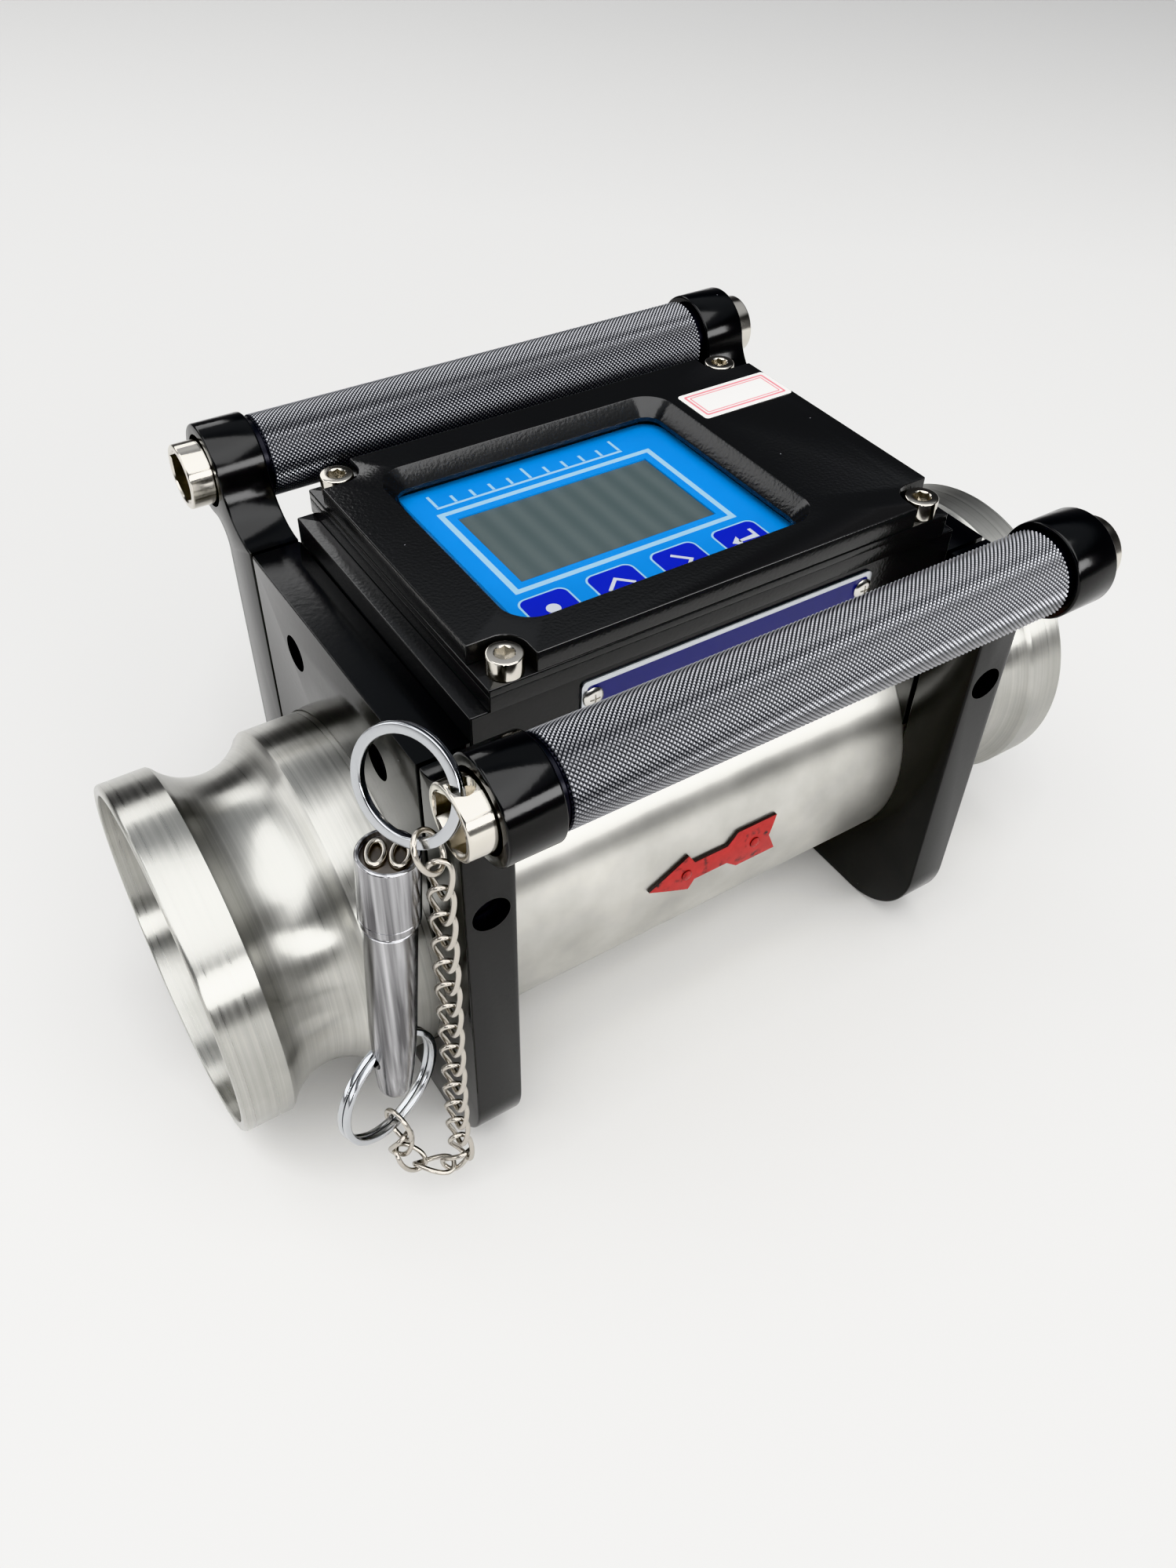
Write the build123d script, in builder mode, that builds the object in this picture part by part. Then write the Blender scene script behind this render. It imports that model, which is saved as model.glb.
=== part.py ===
from build123d import *
import math
import os

os.makedirs("parts", exist_ok=True)

# Portable turbine flow meter, in millimetres.
# X runs along the flow tube, Y from the front handle to the rear one, Z up from the feet.

# Flow tube, a turned tube with a cam-and-groove adapter at each end
tube_radius = 45.75
tube_half_length = 131.2
tube_clearance = 8.0  # floor to the underside of the tube
bore_radius = 36.5
throat_radius = 35.9  # the bore round the rotor, which leaves a step for the straighteners
throat_half_length = 16.0
lip_width = 12.7
lip_chamfer = 0.8
groove_width = 23.8
groove_arc = 14.2

# End plates that carry the tube, the handles and the housing
plate_gap = 133.4  # between the inner faces of the two plates
plate_thickness = 12.6
plate_leg = 14.25  # beside the tube
plate_crown = 28.6  # above the tube
plate_edge_break = 0.5
foot_radius = 22.0
boss_radius = 11.5
handle_outset = 8.8
handle_rise = 9.7
ear_fillet = 14.0
leg_fillet = 6.0
slit_width = 1.2  # between the plate and the block that it clasps

# Handles and their bolts
grip_radius = 10.3
neck_radius = 9.5
neck_length = 1.5
grip_edge_break = 0.4
bolt_head_radius = 8.0
bolt_head_height = 10.0
bolt_stand_off = 6.0
bolt_shank_radius = 5.0
bolt_reach = 15.0
bolt_socket_flats = 11.4
bolt_socket_depth = 6.6
bolt_chamfer = 0.5
seat_clearance = 1.0
ring_hole_radius = 2.5
ring_hole_bridge = 0.6

# Meter housing and lid
housing_half_width = 42.75
housing_rise = 6.5  # above the tops of the plates
housing_gap = 2.0  # above the tube
end_wall = 7.7
side_wall = 8.35
housing_floor = 4.0
cavity_corner = 6.0
neck_boss_radius = 17.0
lid_half_length = 62.5
lid_half_width = 43.4
lid_thickness = 11.1
lid_edge_break = 0.4
pocket_depth = 5.1
pocket_radius = 5.2
lid_screw_inset_x = 6.0
lid_screw_inset_y = 4.0
lid_screw_head_radius = 4.0
lid_screw_head_height = 4.6
lid_screw_radius = 2.0
lid_screw_reach = 10.0
gasket_width = 1.4
gasket_depth = 1.6
gasket_inset = 0.8

# Window, keypad panel and what lies behind them
window_x0 = -48.6
window_x1 = 29.6
window_half_width = 32.1
window_corner = 6.0
window_lip = 1.2
glass_depth = 5.0
glass_thickness = 2.0
rebate_x = 2.4
rebate_y = 2.0
panel_thickness = 0.8
display_x0 = -36.8
display_x1 = 16.9
display_y0 = -12.7
display_y1 = 17.0
display_margin = 2.5
board_thickness = 1.6
board_drop = 8.0
board_inset = 1.1
standoff_radius = 3.0
standoff_inset = 4.0
cell_radius = 8.5
cell_length = 58.0
cell_x = 46.0
cell_nub_radius = 3.0
cell_nub_height = 1.2
holder_wall = 1.5

# Screws through the plates
clamp_screw_drop = 32.6  # below the tops of the plates
clamp_screw_length = 21.0
clamp_head_sink = 10.0
housing_screw_y = 22.0
housing_screw_drop = 15.6
housing_screw_length = 14.0
housing_head_sink = 7.5
m5_radius = 2.5
m5_head_radius = 4.25
m5_head_height = 5.0
counterbore_radius = 4.6
hex_flats = 4.0
hex_depth = 2.5

# Nameplate, flow arrow and sticker
nameplate_half_length = 40.5
nameplate_height = 24.5
nameplate_drop = 1.9  # below the top of the housing
nameplate_thickness = 0.8
nameplate_corner = 1.5
nameplate_screw_inset_x = 2.7
nameplate_screw_inset_z = 4.3
pan_head_radius = 2.6
pan_head_height = 1.2
pan_screw_radius = 1.25
pan_screw_length = 5.0
arrow_angle = 176.0  # round the tube from the rear, so that it faces the front
arrow_thickness = 0.9
arrow_tip_x = -20.5
arrow_barb_x = -7.8
arrow_neck_x = -6.0
arrow_tail_x0 = 4.6
arrow_tail_x1 = 8.1
arrow_end_x = 21.0
arrow_notch_x = 18.5
arrow_half_width = 6.0
arrow_shaft_half_width = 3.0
rivet_x = (-8.7, 13.7)
rivet_head_radius = 1.6
rivet_head_height = 0.6
rivet_radius = 0.8
rivet_length = 4.0
sticker_x0 = 34.0
sticker_x1 = 62.0
sticker_y0 = 15.0
sticker_y1 = 28.0
sticker_thickness = 0.2

# Turbine inside the tube
hub_radius = 12.0
hub_gap = 3.0
rotor_hub_half_length = 9.0
blade_count = 8
blade_half_length = 7.0
blade_thickness = 1.5
blade_twist = 2.4  # degrees for each millimetre along the axis
blade_clearance = 0.5
shaft_radius = 2.0
shaft_half_length = 20.0
bearing_radius = 5.0
bearing_length = 5.0
vane_count = 6
vane_thickness = 1.6
nose_length = 22.0
nose_setback = 2.0
ring_groove_depth = 1.2
ring_groove_width = 1.6
ring_groove_inset = 10.2  # mouth of the tube to the groove
retaining_ring_width = 2.8
retaining_ring_thickness = 1.4
retaining_ring_gap = 9.0
pickup_radius = 7.0
pickup_wall = 3.0  # tube left under the pickup
pickup_height = 19.0
pickup_flange_radius = 9.0
pickup_flange_thickness = 2.0

# Key ring, magnetic stylus and curb chain
key_ring_radius = 12.57
key_ring_band = 2.4
key_ring_thickness = 1.8
key_ring_centre = (-88.7, -59.5, 141.3)
key_ring_normal = (-0.85, -0.42, 0.31)
stylus_top = (-94.0, -59.5, 126.7)
stylus_tip = (-98.8, -57.0, 45.7)
stylus_head_radius = 6.4
stylus_head_length = 19.0
stylus_body_radius = 5.8
stylus_tip_radius = 4.0
stylus_taper_length = 26.0
stylus_collar_groove = 1.2
stylus_cup_depth = 1.2
stylus_cup_wall = 0.8
magnet_thickness = 5.0
split_ring_radius = 15.0
split_ring_centre = (-99.8, -55.9, 46.8)
split_ring_normal = (0.35, -0.94, 0.04)
split_wire = 1.6
split_coils = 2
split_groove = 0.3
split_hole_radius = 2.6
chain_wire_radius = 0.6
link_half_length = 4.9  # to the middle of the wire
link_half_width = 2.6
link_twist = 35.0
link_squareness = 0.8  # 1 is an oval, and less fills its corners
link_pitch = 7.6
link_stations = 14
end_link_half_length = 4.9
end_link_half_width = 3.6
end_link_reach = 0.87  # past the joint with the next link
end_link_clearance = 0.25
key_ring_turn = 25.0  # round the ring from its lowest point
key_ring_pull = (0.3, -0.1, -1.0)
split_ring_pull = (0.35, -0.3, -1.0)
chain_turn = (-88.0, -66.0, 26.0)
chain_low = (-93.6, -62.0, 13.2)
chain_face = (0.866, 0.5, 0.0)
chain_roll = -140.0  # how far the chain turns about itself in its loop

# Fits
slip = 0.05
screw_clearance = 0.3

# Places worked out from the sizes above
tube_z = tube_clearance + tube_radius
plate_x = plate_gap / 2
plate_out_x = plate_x + plate_thickness
plate_half_width = tube_radius + plate_leg
plate_top = tube_z + tube_radius + plate_crown
handle_y = plate_half_width + handle_outset
handle_z = plate_top + handle_rise
ear_y = handle_y - math.sqrt((ear_fillet + boss_radius) ** 2 - (ear_fillet - handle_rise) ** 2)
leg_top = handle_z - math.sqrt((leg_fillet + boss_radius) ** 2 - (handle_outset - leg_fillet) ** 2)
housing_bottom = tube_z + tube_radius + housing_gap
housing_top = plate_top + housing_rise
cavity_bottom = housing_bottom + housing_floor
cavity_half_length = plate_x - end_wall
cavity_half_width = housing_half_width - side_wall
lid_top = housing_top + lid_thickness
lid_screw_x = lid_half_length - lid_screw_inset_x
lid_screw_y = lid_half_width - lid_screw_inset_y
pocket_floor = lid_top - pocket_depth
glass_top = lid_top - glass_depth
panel_top = glass_top - glass_thickness
panel_bottom = panel_top - panel_thickness
board_top = panel_bottom - board_drop
board_bottom = board_top - board_thickness
glass_x0 = window_x0 - rebate_x
glass_x1 = window_x1 + rebate_x
glass_half_width = window_half_width + rebate_y
bolt_seat_x = plate_out_x + bolt_stand_off - bolt_head_height
bolt_mouth_x = plate_out_x + bolt_stand_off
groove_x = tube_half_length - lip_width - groove_width / 2
groove_centre = tube_radius + math.sqrt(groove_arc**2 - (groove_width / 2) ** 2)
ring_groove_x = tube_half_length - ring_groove_inset - ring_groove_width / 2
vane_end_x = ring_groove_x - retaining_ring_thickness / 2
hub_x = rotor_hub_half_length + hub_gap
pickup_bottom = tube_z + bore_radius + pickup_wall

tube_axis = Axis((0, 0, tube_z), (1, 0, 0))
tube_plane = Plane((0, 0, tube_z), x_dir=(1, 0, 0), z_dir=(0, -1, 0))


def section_at(x):
    """The plane across the tube at one place along it, with Y and Z as its own axes."""
    return Plane((x, 0, 0), x_dir=(0, 1, 0), z_dir=(1, 0, 0))


def front_at(y):
    """The upright plane along the tube at one depth, facing the front."""
    return Plane((0, y, 0), x_dir=(1, 0, 0), z_dir=(0, -1, 0))


def clamp_plane(x, y, side):
    """The upright plane across a clamp screw, facing out of the front or the rear."""
    return Plane((x, y, plate_top - clamp_screw_drop), x_dir=(1, 0, 0), z_dir=(0, side, 0))


def socket_screw(seat, head_radius, head_height, shank_radius, reach, flats, socket, chamfer_size):
    """A socket head cap screw on a plane at its seat, with the head on the plane's upper side."""
    with BuildPart() as screw:
        with BuildSketch(seat):
            Circle(head_radius)
        extrude(amount=head_height)
        rim = screw.edges().filter_by(GeomType.CIRCLE)
        rim = rim.sort_by(lambda edge: seat.to_local_coords(edge.center()).Z)
        chamfer(rim[-1], chamfer_size)
        with BuildSketch(seat.offset(head_height)):
            RegularPolygon(flats / math.sqrt(3), 6)
        extrude(amount=-socket, mode=Mode.SUBTRACT)
        with BuildSketch(seat):
            Circle(shank_radius)
        extrude(amount=-reach)
    return screw.part


# Flow tube: the ends, the cam grooves, the throat and the ring grooves are one turned profile
with BuildPart() as flow_tube:
    with BuildSketch(tube_plane):
        with Locations((0, (tube_radius + bore_radius) / 2)):
            blank = Rectangle(2 * tube_half_length, tube_radius - bore_radius)
        chamfer(blank.vertices(), lip_chamfer)
        with Locations((0, (tube_radius + throat_radius) / 2)):
            Rectangle(2 * throat_half_length, tube_radius - throat_radius)
        with Locations((-groove_x, groove_centre), (groove_x, groove_centre)):
            Circle(groove_arc, mode=Mode.SUBTRACT)
        with Locations((-ring_groove_x, bore_radius), (ring_groove_x, bore_radius)):
            Rectangle(ring_groove_width, 2 * ring_groove_depth, mode=Mode.SUBTRACT)
    revolve(axis=tube_axis)
    with BuildSketch(Plane.XY.offset(pickup_bottom)):
        Circle(pickup_radius)
    extrude(amount=pickup_height, mode=Mode.SUBTRACT)
    for x in rivet_x:
        angle = math.radians(arrow_angle)
        outward = (0, math.cos(angle), math.sin(angle))
        foot = (x, tube_radius * outward[1], tube_z + tube_radius * outward[2])
        with BuildSketch(Plane(foot, x_dir=(1, 0, 0), z_dir=outward)):
            Circle(rivet_radius + slip)
        extrude(amount=-rivet_length, mode=Mode.SUBTRACT)
flow_tube.part.label = "flow_tube"
export_step(flow_tube.part, "parts/flow_tube.step")

# End plate: a yoke with two feet, a seat for the tube and an ear for each handle
ear_lean = math.degrees(math.atan2(ear_fillet - handle_rise, ear_y - handle_y))
leg_lean = math.degrees(math.atan2(handle_z - leg_top, handle_outset - leg_fillet))
plate_middle_x = plate_x + plate_thickness / 2
housing_screw_z = plate_top - housing_screw_drop
with BuildPart() as end_plate_left:
    with BuildSketch(section_at(-plate_out_x)):
        with BuildLine():
            corner = (plate_half_width - foot_radius, foot_radius)
            Line((0, 0), (corner[0], 0))
            CenterArc(corner, foot_radius, -90, 90)
            Line((plate_half_width, foot_radius), (plate_half_width, leg_top))
            CenterArc((plate_half_width + leg_fillet, leg_top), leg_fillet, 180, leg_lean - 180)
            CenterArc((handle_y, handle_z), boss_radius, leg_lean - 180, ear_lean + 180 - leg_lean)
            CenterArc((ear_y, plate_top + ear_fillet), ear_fillet, ear_lean - 180, 90 - ear_lean)
            Line((ear_y, plate_top), (ear_y, tube_z))
            Line((ear_y, tube_z), (0, tube_z))
            mirror(about=Plane.YZ)
        make_face()
    extrude(amount=plate_thickness)
    rims = [face.outer_wire().edges() for face in faces().filter_by(Axis.X)]
    chamfer(rims[0] + rims[1], plate_edge_break)
    with BuildSketch(section_at(-plate_out_x)):
        with Locations((0, tube_z)):
            Circle(tube_radius + slip)
        with Locations((-handle_y, handle_z), (handle_y, handle_z)):
            Circle(bolt_shank_radius + screw_clearance)
    extrude(amount=plate_thickness, mode=Mode.SUBTRACT)
    with BuildSketch(section_at(-plate_out_x)):
        with Locations((-handle_y, handle_z), (handle_y, handle_z)):
            Circle(bolt_head_radius + seat_clearance)
    extrude(amount=bolt_head_height - bolt_stand_off, mode=Mode.SUBTRACT)
    for side in (-1, 1):
        with BuildSketch(clamp_plane(-plate_middle_x, side * plate_half_width, side)):
            Circle(counterbore_radius)
        extrude(amount=-clamp_head_sink, mode=Mode.SUBTRACT)
        with BuildSketch(clamp_plane(-plate_middle_x, side * plate_half_width, side)):
            Circle(m5_radius + slip)
        extrude(amount=-plate_half_width / 2, mode=Mode.SUBTRACT)
end_plate_left.part.label = "end_plate_left"
export_step(end_plate_left.part, "parts/end_plate_left.step")

with BuildPart() as end_plate_right:
    mirror(end_plate_left.part, about=Plane.YZ)
end_plate_right.part.label = "end_plate_right"
export_step(end_plate_right.part, "parts/end_plate_right.step")

# Clamp block: it fills the yoke above the tube and carries one end of the housing
with BuildPart() as clamp_block_left:
    with BuildSketch(section_at(-plate_out_x)):
        with Locations((0, (tube_z + plate_top) / 2)):
            Rectangle(2 * (ear_y - slit_width), plate_top - tube_z)
    extrude(amount=plate_thickness)
    rims = [face.outer_wire().edges() for face in faces().filter_by(Axis.X)]
    chamfer(rims[0] + rims[1], plate_edge_break)
    with BuildSketch(section_at(-plate_out_x)):
        with Locations((0, tube_z)):
            Circle(tube_radius + slip)
        with Locations((-housing_screw_y, housing_screw_z), (housing_screw_y, housing_screw_z)):
            Circle(m5_radius + screw_clearance)
    extrude(amount=plate_thickness, mode=Mode.SUBTRACT)
    with BuildSketch(section_at(-plate_out_x)):
        with Locations((-housing_screw_y, housing_screw_z), (housing_screw_y, housing_screw_z)):
            Circle(counterbore_radius)
    extrude(amount=housing_head_sink, mode=Mode.SUBTRACT)
    for side in (-1, 1):
        with BuildSketch(clamp_plane(-plate_middle_x, side * plate_half_width, side)):
            Circle(m5_radius + slip)
        extrude(amount=-clamp_head_sink - clamp_screw_length - 1, mode=Mode.SUBTRACT)
clamp_block_left.part.label = "clamp_block_left"
export_step(clamp_block_left.part, "parts/clamp_block_left.step")

with BuildPart() as clamp_block_right:
    mirror(clamp_block_left.part, about=Plane.YZ)
clamp_block_right.part.label = "clamp_block_right"
export_step(clamp_block_right.part, "parts/clamp_block_right.step")

# Clamp screws draw the legs of the yoke against the block
with BuildPart() as plate_clamp_screws:
    for end in (-1, 1):
        for side in (-1, 1):
            seat = clamp_plane(end * plate_middle_x, side * (plate_half_width - clamp_head_sink), side)
            add(socket_screw(seat, m5_head_radius, m5_head_height, m5_radius,
                             clamp_screw_length, hex_flats, hex_depth, bolt_chamfer))
plate_clamp_screws.part.label = "plate_clamp_screws"
export_step(plate_clamp_screws.part, "parts/plate_clamp_screws.step")

# Screws that hold the housing between the plates
with BuildPart() as plate_housing_screws:
    for end in (-1, 1):
        for side in (-1, 1):
            seat = Plane(
                (end * (plate_out_x - housing_head_sink), side * housing_screw_y, housing_screw_z),
                x_dir=(0, 1, 0),
                z_dir=(end, 0, 0),
            )
            add(socket_screw(seat, m5_head_radius, m5_head_height, m5_radius,
                             housing_screw_length, hex_flats, hex_depth, bolt_chamfer))
plate_housing_screws.part.label = "plate_housing_screws"
export_step(plate_housing_screws.part, "parts/plate_housing_screws.step")


def handle(side):
    """A knurled bar between the plates, with a plain neck and a tapped hole at each end."""
    bar_plane = Plane((0, side * handle_y, handle_z), x_dir=(1, 0, 0), z_dir=(0, -1, 0))
    with BuildPart() as bar:
        with BuildSketch(bar_plane):
            with Locations((0, grip_radius / 2)):
                grip = Rectangle(plate_gap - 2 * neck_length, grip_radius)
            chamfer(grip.vertices().group_by(Axis.Y)[-1], grip_edge_break)
            with Locations((0, neck_radius / 2)):
                Rectangle(plate_gap, neck_radius)
        revolve(axis=Axis((0, side * handle_y, handle_z), (1, 0, 0)))
        for end in (-1, 1):
            with BuildSketch(section_at(end * plate_x)):
                with Locations((side * handle_y, handle_z)):
                    Circle(bolt_shank_radius + slip)
            extrude(amount=-end * (bolt_reach + 2), mode=Mode.SUBTRACT)
    return bar.part


with BuildPart() as handle_front:
    add(handle(-1))
handle_front.part.label = "handle_front"
export_step(handle_front.part, "parts/handle_front.step")

with BuildPart() as handle_rear:
    add(handle(1))
handle_rear.part.label = "handle_rear"
export_step(handle_rear.part, "parts/handle_rear.step")


def handle_bolt(end, side):
    """One handle bolt, seated in the counterbore of its ear."""
    seat = Plane((end * bolt_seat_x, side * handle_y, handle_z), x_dir=(0, 0, 1), z_dir=(end, 0, 0))
    reach = bolt_seat_x - plate_x + bolt_reach
    return socket_screw(seat, bolt_head_radius, bolt_head_height, bolt_shank_radius,
                        reach, bolt_socket_flats, bolt_socket_depth, bolt_chamfer)


with BuildPart() as handle_bolts:
    add([handle_bolt(-1, 1), handle_bolt(1, -1), handle_bolt(1, 1)])
handle_bolts.part.label = "handle_bolts"
export_step(handle_bolts.part, "parts/handle_bolts.step")

# The front left bolt is drilled through the wall of its head for the key ring
with BuildPart() as handle_bolt_drilled:
    add(handle_bolt(-1, -1))
    ring_hole_x = -bolt_mouth_x + ring_hole_bridge + ring_hole_radius
    with BuildSketch(Plane((ring_hole_x, -handle_y, handle_z), x_dir=(1, 0, 0), z_dir=(0, 0, 1))):
        Circle(ring_hole_radius)
    extrude(amount=bolt_head_radius + 1, mode=Mode.SUBTRACT)
handle_bolt_drilled.part.label = "handle_bolt_drilled"
export_step(handle_bolt_drilled.part, "parts/handle_bolt_drilled.step")

# Meter housing: an open box whose neck sits on the tube over the pickup
with BuildPart() as meter_housing:
    with BuildSketch(Plane.XY.offset(housing_bottom)):
        Rectangle(plate_gap, 2 * housing_half_width)
    extrude(amount=housing_top - housing_bottom)
    with BuildSketch(Plane.XY.offset(tube_z)):
        Circle(neck_boss_radius)
    extrude(amount=housing_bottom - tube_z)
    with BuildSketch(section_at(-plate_x)):
        with Locations((0, tube_z)):
            Circle(tube_radius + slip)
    extrude(amount=plate_gap, mode=Mode.SUBTRACT)
    with BuildSketch(Plane.XY.offset(cavity_bottom)):
        RectangleRounded(2 * cavity_half_length, 2 * cavity_half_width, cavity_corner)
    extrude(amount=housing_top - cavity_bottom, mode=Mode.SUBTRACT)
    with BuildSketch(Plane.XY.offset(tube_z)):
        Circle(pickup_radius)
    extrude(amount=cavity_bottom - tube_z, mode=Mode.SUBTRACT)
    with BuildSketch(Plane.XY.offset(housing_top)):
        grow = gasket_inset + gasket_width
        RectangleRounded(2 * (cavity_half_length + grow), 2 * (cavity_half_width + grow),
                         cavity_corner + grow)
        grow = gasket_inset
        RectangleRounded(2 * (cavity_half_length + grow), 2 * (cavity_half_width + grow),
                         cavity_corner + grow, mode=Mode.SUBTRACT)
    extrude(amount=-gasket_depth, mode=Mode.SUBTRACT)
    with BuildSketch(Plane.XY.offset(housing_top)):
        with GridLocations(2 * lid_screw_x, 2 * lid_screw_y, 2, 2):
            Circle(lid_screw_radius + slip)
    extrude(amount=-lid_screw_reach - 1, mode=Mode.SUBTRACT)
    for end in (-1, 1):
        with BuildSketch(section_at(end * plate_x)):
            for side in (-1, 1):
                with Locations((side * housing_screw_y, housing_screw_z)):
                    Circle(m5_radius + slip)
        extrude(amount=-end * end_wall, mode=Mode.SUBTRACT)
    nameplate_top = housing_top - nameplate_drop
    nameplate_z = nameplate_top - nameplate_height / 2
    with BuildSketch(front_at(-housing_half_width)):
        with Locations((0, nameplate_z)):
            with GridLocations(2 * (nameplate_half_length - nameplate_screw_inset_x),
                               nameplate_height - 2 * nameplate_screw_inset_z, 2, 2):
                Circle(pan_screw_radius + slip)
    extrude(amount=-pan_screw_length, mode=Mode.SUBTRACT)
meter_housing.part.label = "meter_housing"
export_step(meter_housing.part, "parts/meter_housing.step")

with BuildPart() as lid_gasket:
    with BuildSketch(Plane.XY.offset(housing_top - gasket_depth)):
        grow = gasket_inset + gasket_width - slip
        RectangleRounded(2 * (cavity_half_length + grow), 2 * (cavity_half_width + grow),
                         cavity_corner + grow)
        grow = gasket_inset + slip
        RectangleRounded(2 * (cavity_half_length + grow), 2 * (cavity_half_width + grow),
                         cavity_corner + grow, mode=Mode.SUBTRACT)
    extrude(amount=gasket_depth)
lid_gasket.part.label = "lid_gasket"
export_step(lid_gasket.part, "parts/lid_gasket.step")

# Lid: corner pockets for the screws, and a deep window with the glass seated from below
with BuildPart() as lid:
    with BuildSketch(Plane.XY.offset(housing_top)):
        Rectangle(2 * lid_half_length, 2 * lid_half_width)
    extrude(amount=lid_thickness)
    with BuildSketch(Plane.XY.offset(lid_top)):
        with Locations(((window_x0 + window_x1) / 2, 0)):
            RectangleRounded(window_x1 - window_x0, 2 * window_half_width, window_corner)
    extrude(amount=-lid_thickness, mode=Mode.SUBTRACT)
    fillet(faces().sort_by(Axis.Z)[-1].inner_wires()[0].edges(), window_lip)
    for end in (-1, 1):
        for side in (-1, 1):
            pocket_x = (lid_screw_inset_x + pocket_radius) * 2
            pocket_y = (lid_screw_inset_y + pocket_radius) * 2
            with BuildSketch(Plane.XY.offset(lid_top)):
                with Locations((end * lid_half_length, side * lid_half_width)):
                    RectangleRounded(pocket_x, pocket_y, pocket_radius)
            extrude(amount=-pocket_depth, mode=Mode.SUBTRACT)
    chamfer(faces().sort_by(Axis.Z)[-1].outer_wire().edges(), lid_edge_break)
    with BuildSketch(Plane.XY.offset(housing_top)):
        with Locations(((glass_x0 + glass_x1) / 2, 0)):
            RectangleRounded(glass_x1 - glass_x0, 2 * glass_half_width, window_corner + rebate_y)
    extrude(amount=glass_top - housing_top, mode=Mode.SUBTRACT)
    with BuildSketch(Plane.XY.offset(housing_top)):
        with GridLocations(2 * lid_screw_x, 2 * lid_screw_y, 2, 2):
            Circle(lid_screw_radius + screw_clearance)
    extrude(amount=lid_thickness, mode=Mode.SUBTRACT)
lid.part.label = "lid"
export_step(lid.part, "parts/lid.step")

with BuildPart() as lid_screws:
    for end in (-1, 1):
        for side in (-1, 1):
            seat = Plane((end * lid_screw_x, side * lid_screw_y, pocket_floor))
            add(socket_screw(seat, lid_screw_head_radius, lid_screw_head_height, lid_screw_radius,
                             pocket_floor - housing_top + lid_screw_reach, hex_flats, hex_depth,
                             lid_edge_break))
lid_screws.part.label = "lid_screws"
export_step(lid_screws.part, "parts/lid_screws.step")

with BuildPart() as window_glass:
    with BuildSketch(Plane.XY.offset(panel_top)):
        with Locations(((glass_x0 + glass_x1) / 2, 0)):
            RectangleRounded(glass_x1 - glass_x0 - 2 * slip, 2 * (glass_half_width - slip),
                             window_corner + rebate_y - slip)
    extrude(amount=glass_thickness)
window_glass.part.label = "window_glass"
export_step(window_glass.part, "parts/window_glass.step")

# The printed panel lies against the glass and is open over the display
with BuildPart() as keypad_panel:
    with BuildSketch(Plane.XY.offset(panel_bottom)):
        with Locations(((glass_x0 + glass_x1) / 2, 0)):
            RectangleRounded(glass_x1 - glass_x0 - 2 * slip, 2 * (glass_half_width - slip),
                             window_corner + rebate_y - slip)
        with Locations(((display_x0 + display_x1) / 2, (display_y0 + display_y1) / 2)):
            Rectangle(display_x1 - display_x0, display_y1 - display_y0, mode=Mode.SUBTRACT)
    extrude(amount=panel_thickness)
keypad_panel.part.label = "keypad_panel"
export_step(keypad_panel.part, "parts/keypad_panel.step")

with BuildPart() as lcd_module:
    with BuildSketch(Plane.XY.offset(board_top)):
        with Locations(((display_x0 + display_x1) / 2, (display_y0 + display_y1) / 2)):
            Rectangle(display_x1 - display_x0 + 2 * display_margin,
                      display_y1 - display_y0 + 2 * display_margin)
    extrude(amount=board_drop)
    with BuildSketch(Plane.XY.offset(panel_bottom)):
        with Locations(((display_x0 + display_x1) / 2, (display_y0 + display_y1) / 2)):
            Rectangle(display_x1 - display_x0 - 2 * slip, display_y1 - display_y0 - 2 * slip)
    extrude(amount=panel_thickness / 2)
lcd_module.part.label = "lcd_module"
export_step(lcd_module.part, "parts/lcd_module.step")

board_length = glass_x1 - glass_x0 - 2 * board_inset
board_width = 2 * (glass_half_width - board_inset)
standoff_grid = (board_length - 2 * standoff_inset, board_width - 2 * standoff_inset)
with BuildPart() as circuit_board:
    with BuildSketch(Plane.XY.offset(board_bottom)):
        with Locations(((glass_x0 + glass_x1) / 2, 0)):
            Rectangle(board_length, board_width)
            with GridLocations(standoff_grid[0], standoff_grid[1], 2, 2):
                Circle(standoff_radius / 2, mode=Mode.SUBTRACT)
    extrude(amount=board_thickness)
circuit_board.part.label = "circuit_board"
export_step(circuit_board.part, "parts/circuit_board.step")

with BuildPart() as board_standoffs:
    with BuildSketch(Plane.XY.offset(cavity_bottom)):
        with Locations(((glass_x0 + glass_x1) / 2, 0)):
            with GridLocations(standoff_grid[0], standoff_grid[1], 2, 2):
                RegularPolygon(standoff_radius, 6)
    extrude(amount=board_bottom - cavity_bottom)
board_standoffs.part.label = "board_standoffs"
export_step(board_standoffs.part, "parts/board_standoffs.step")

# Battery cell across the housing, in an open holder on its floor
cell_z = cavity_bottom + holder_wall + cell_radius + slip
with BuildPart() as battery_cell:
    with BuildSketch(Plane((cell_x, -cell_length / 2, cell_z), x_dir=(1, 0, 0), z_dir=(0, 1, 0))):
        Circle(cell_radius)
    extrude(amount=cell_length)
    with BuildSketch(Plane((cell_x, cell_length / 2, cell_z), x_dir=(1, 0, 0), z_dir=(0, 1, 0))):
        Circle(cell_nub_radius)
    extrude(amount=cell_nub_height)
battery_cell.part.label = "battery_cell"
export_step(battery_cell.part, "parts/battery_cell.step")

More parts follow.
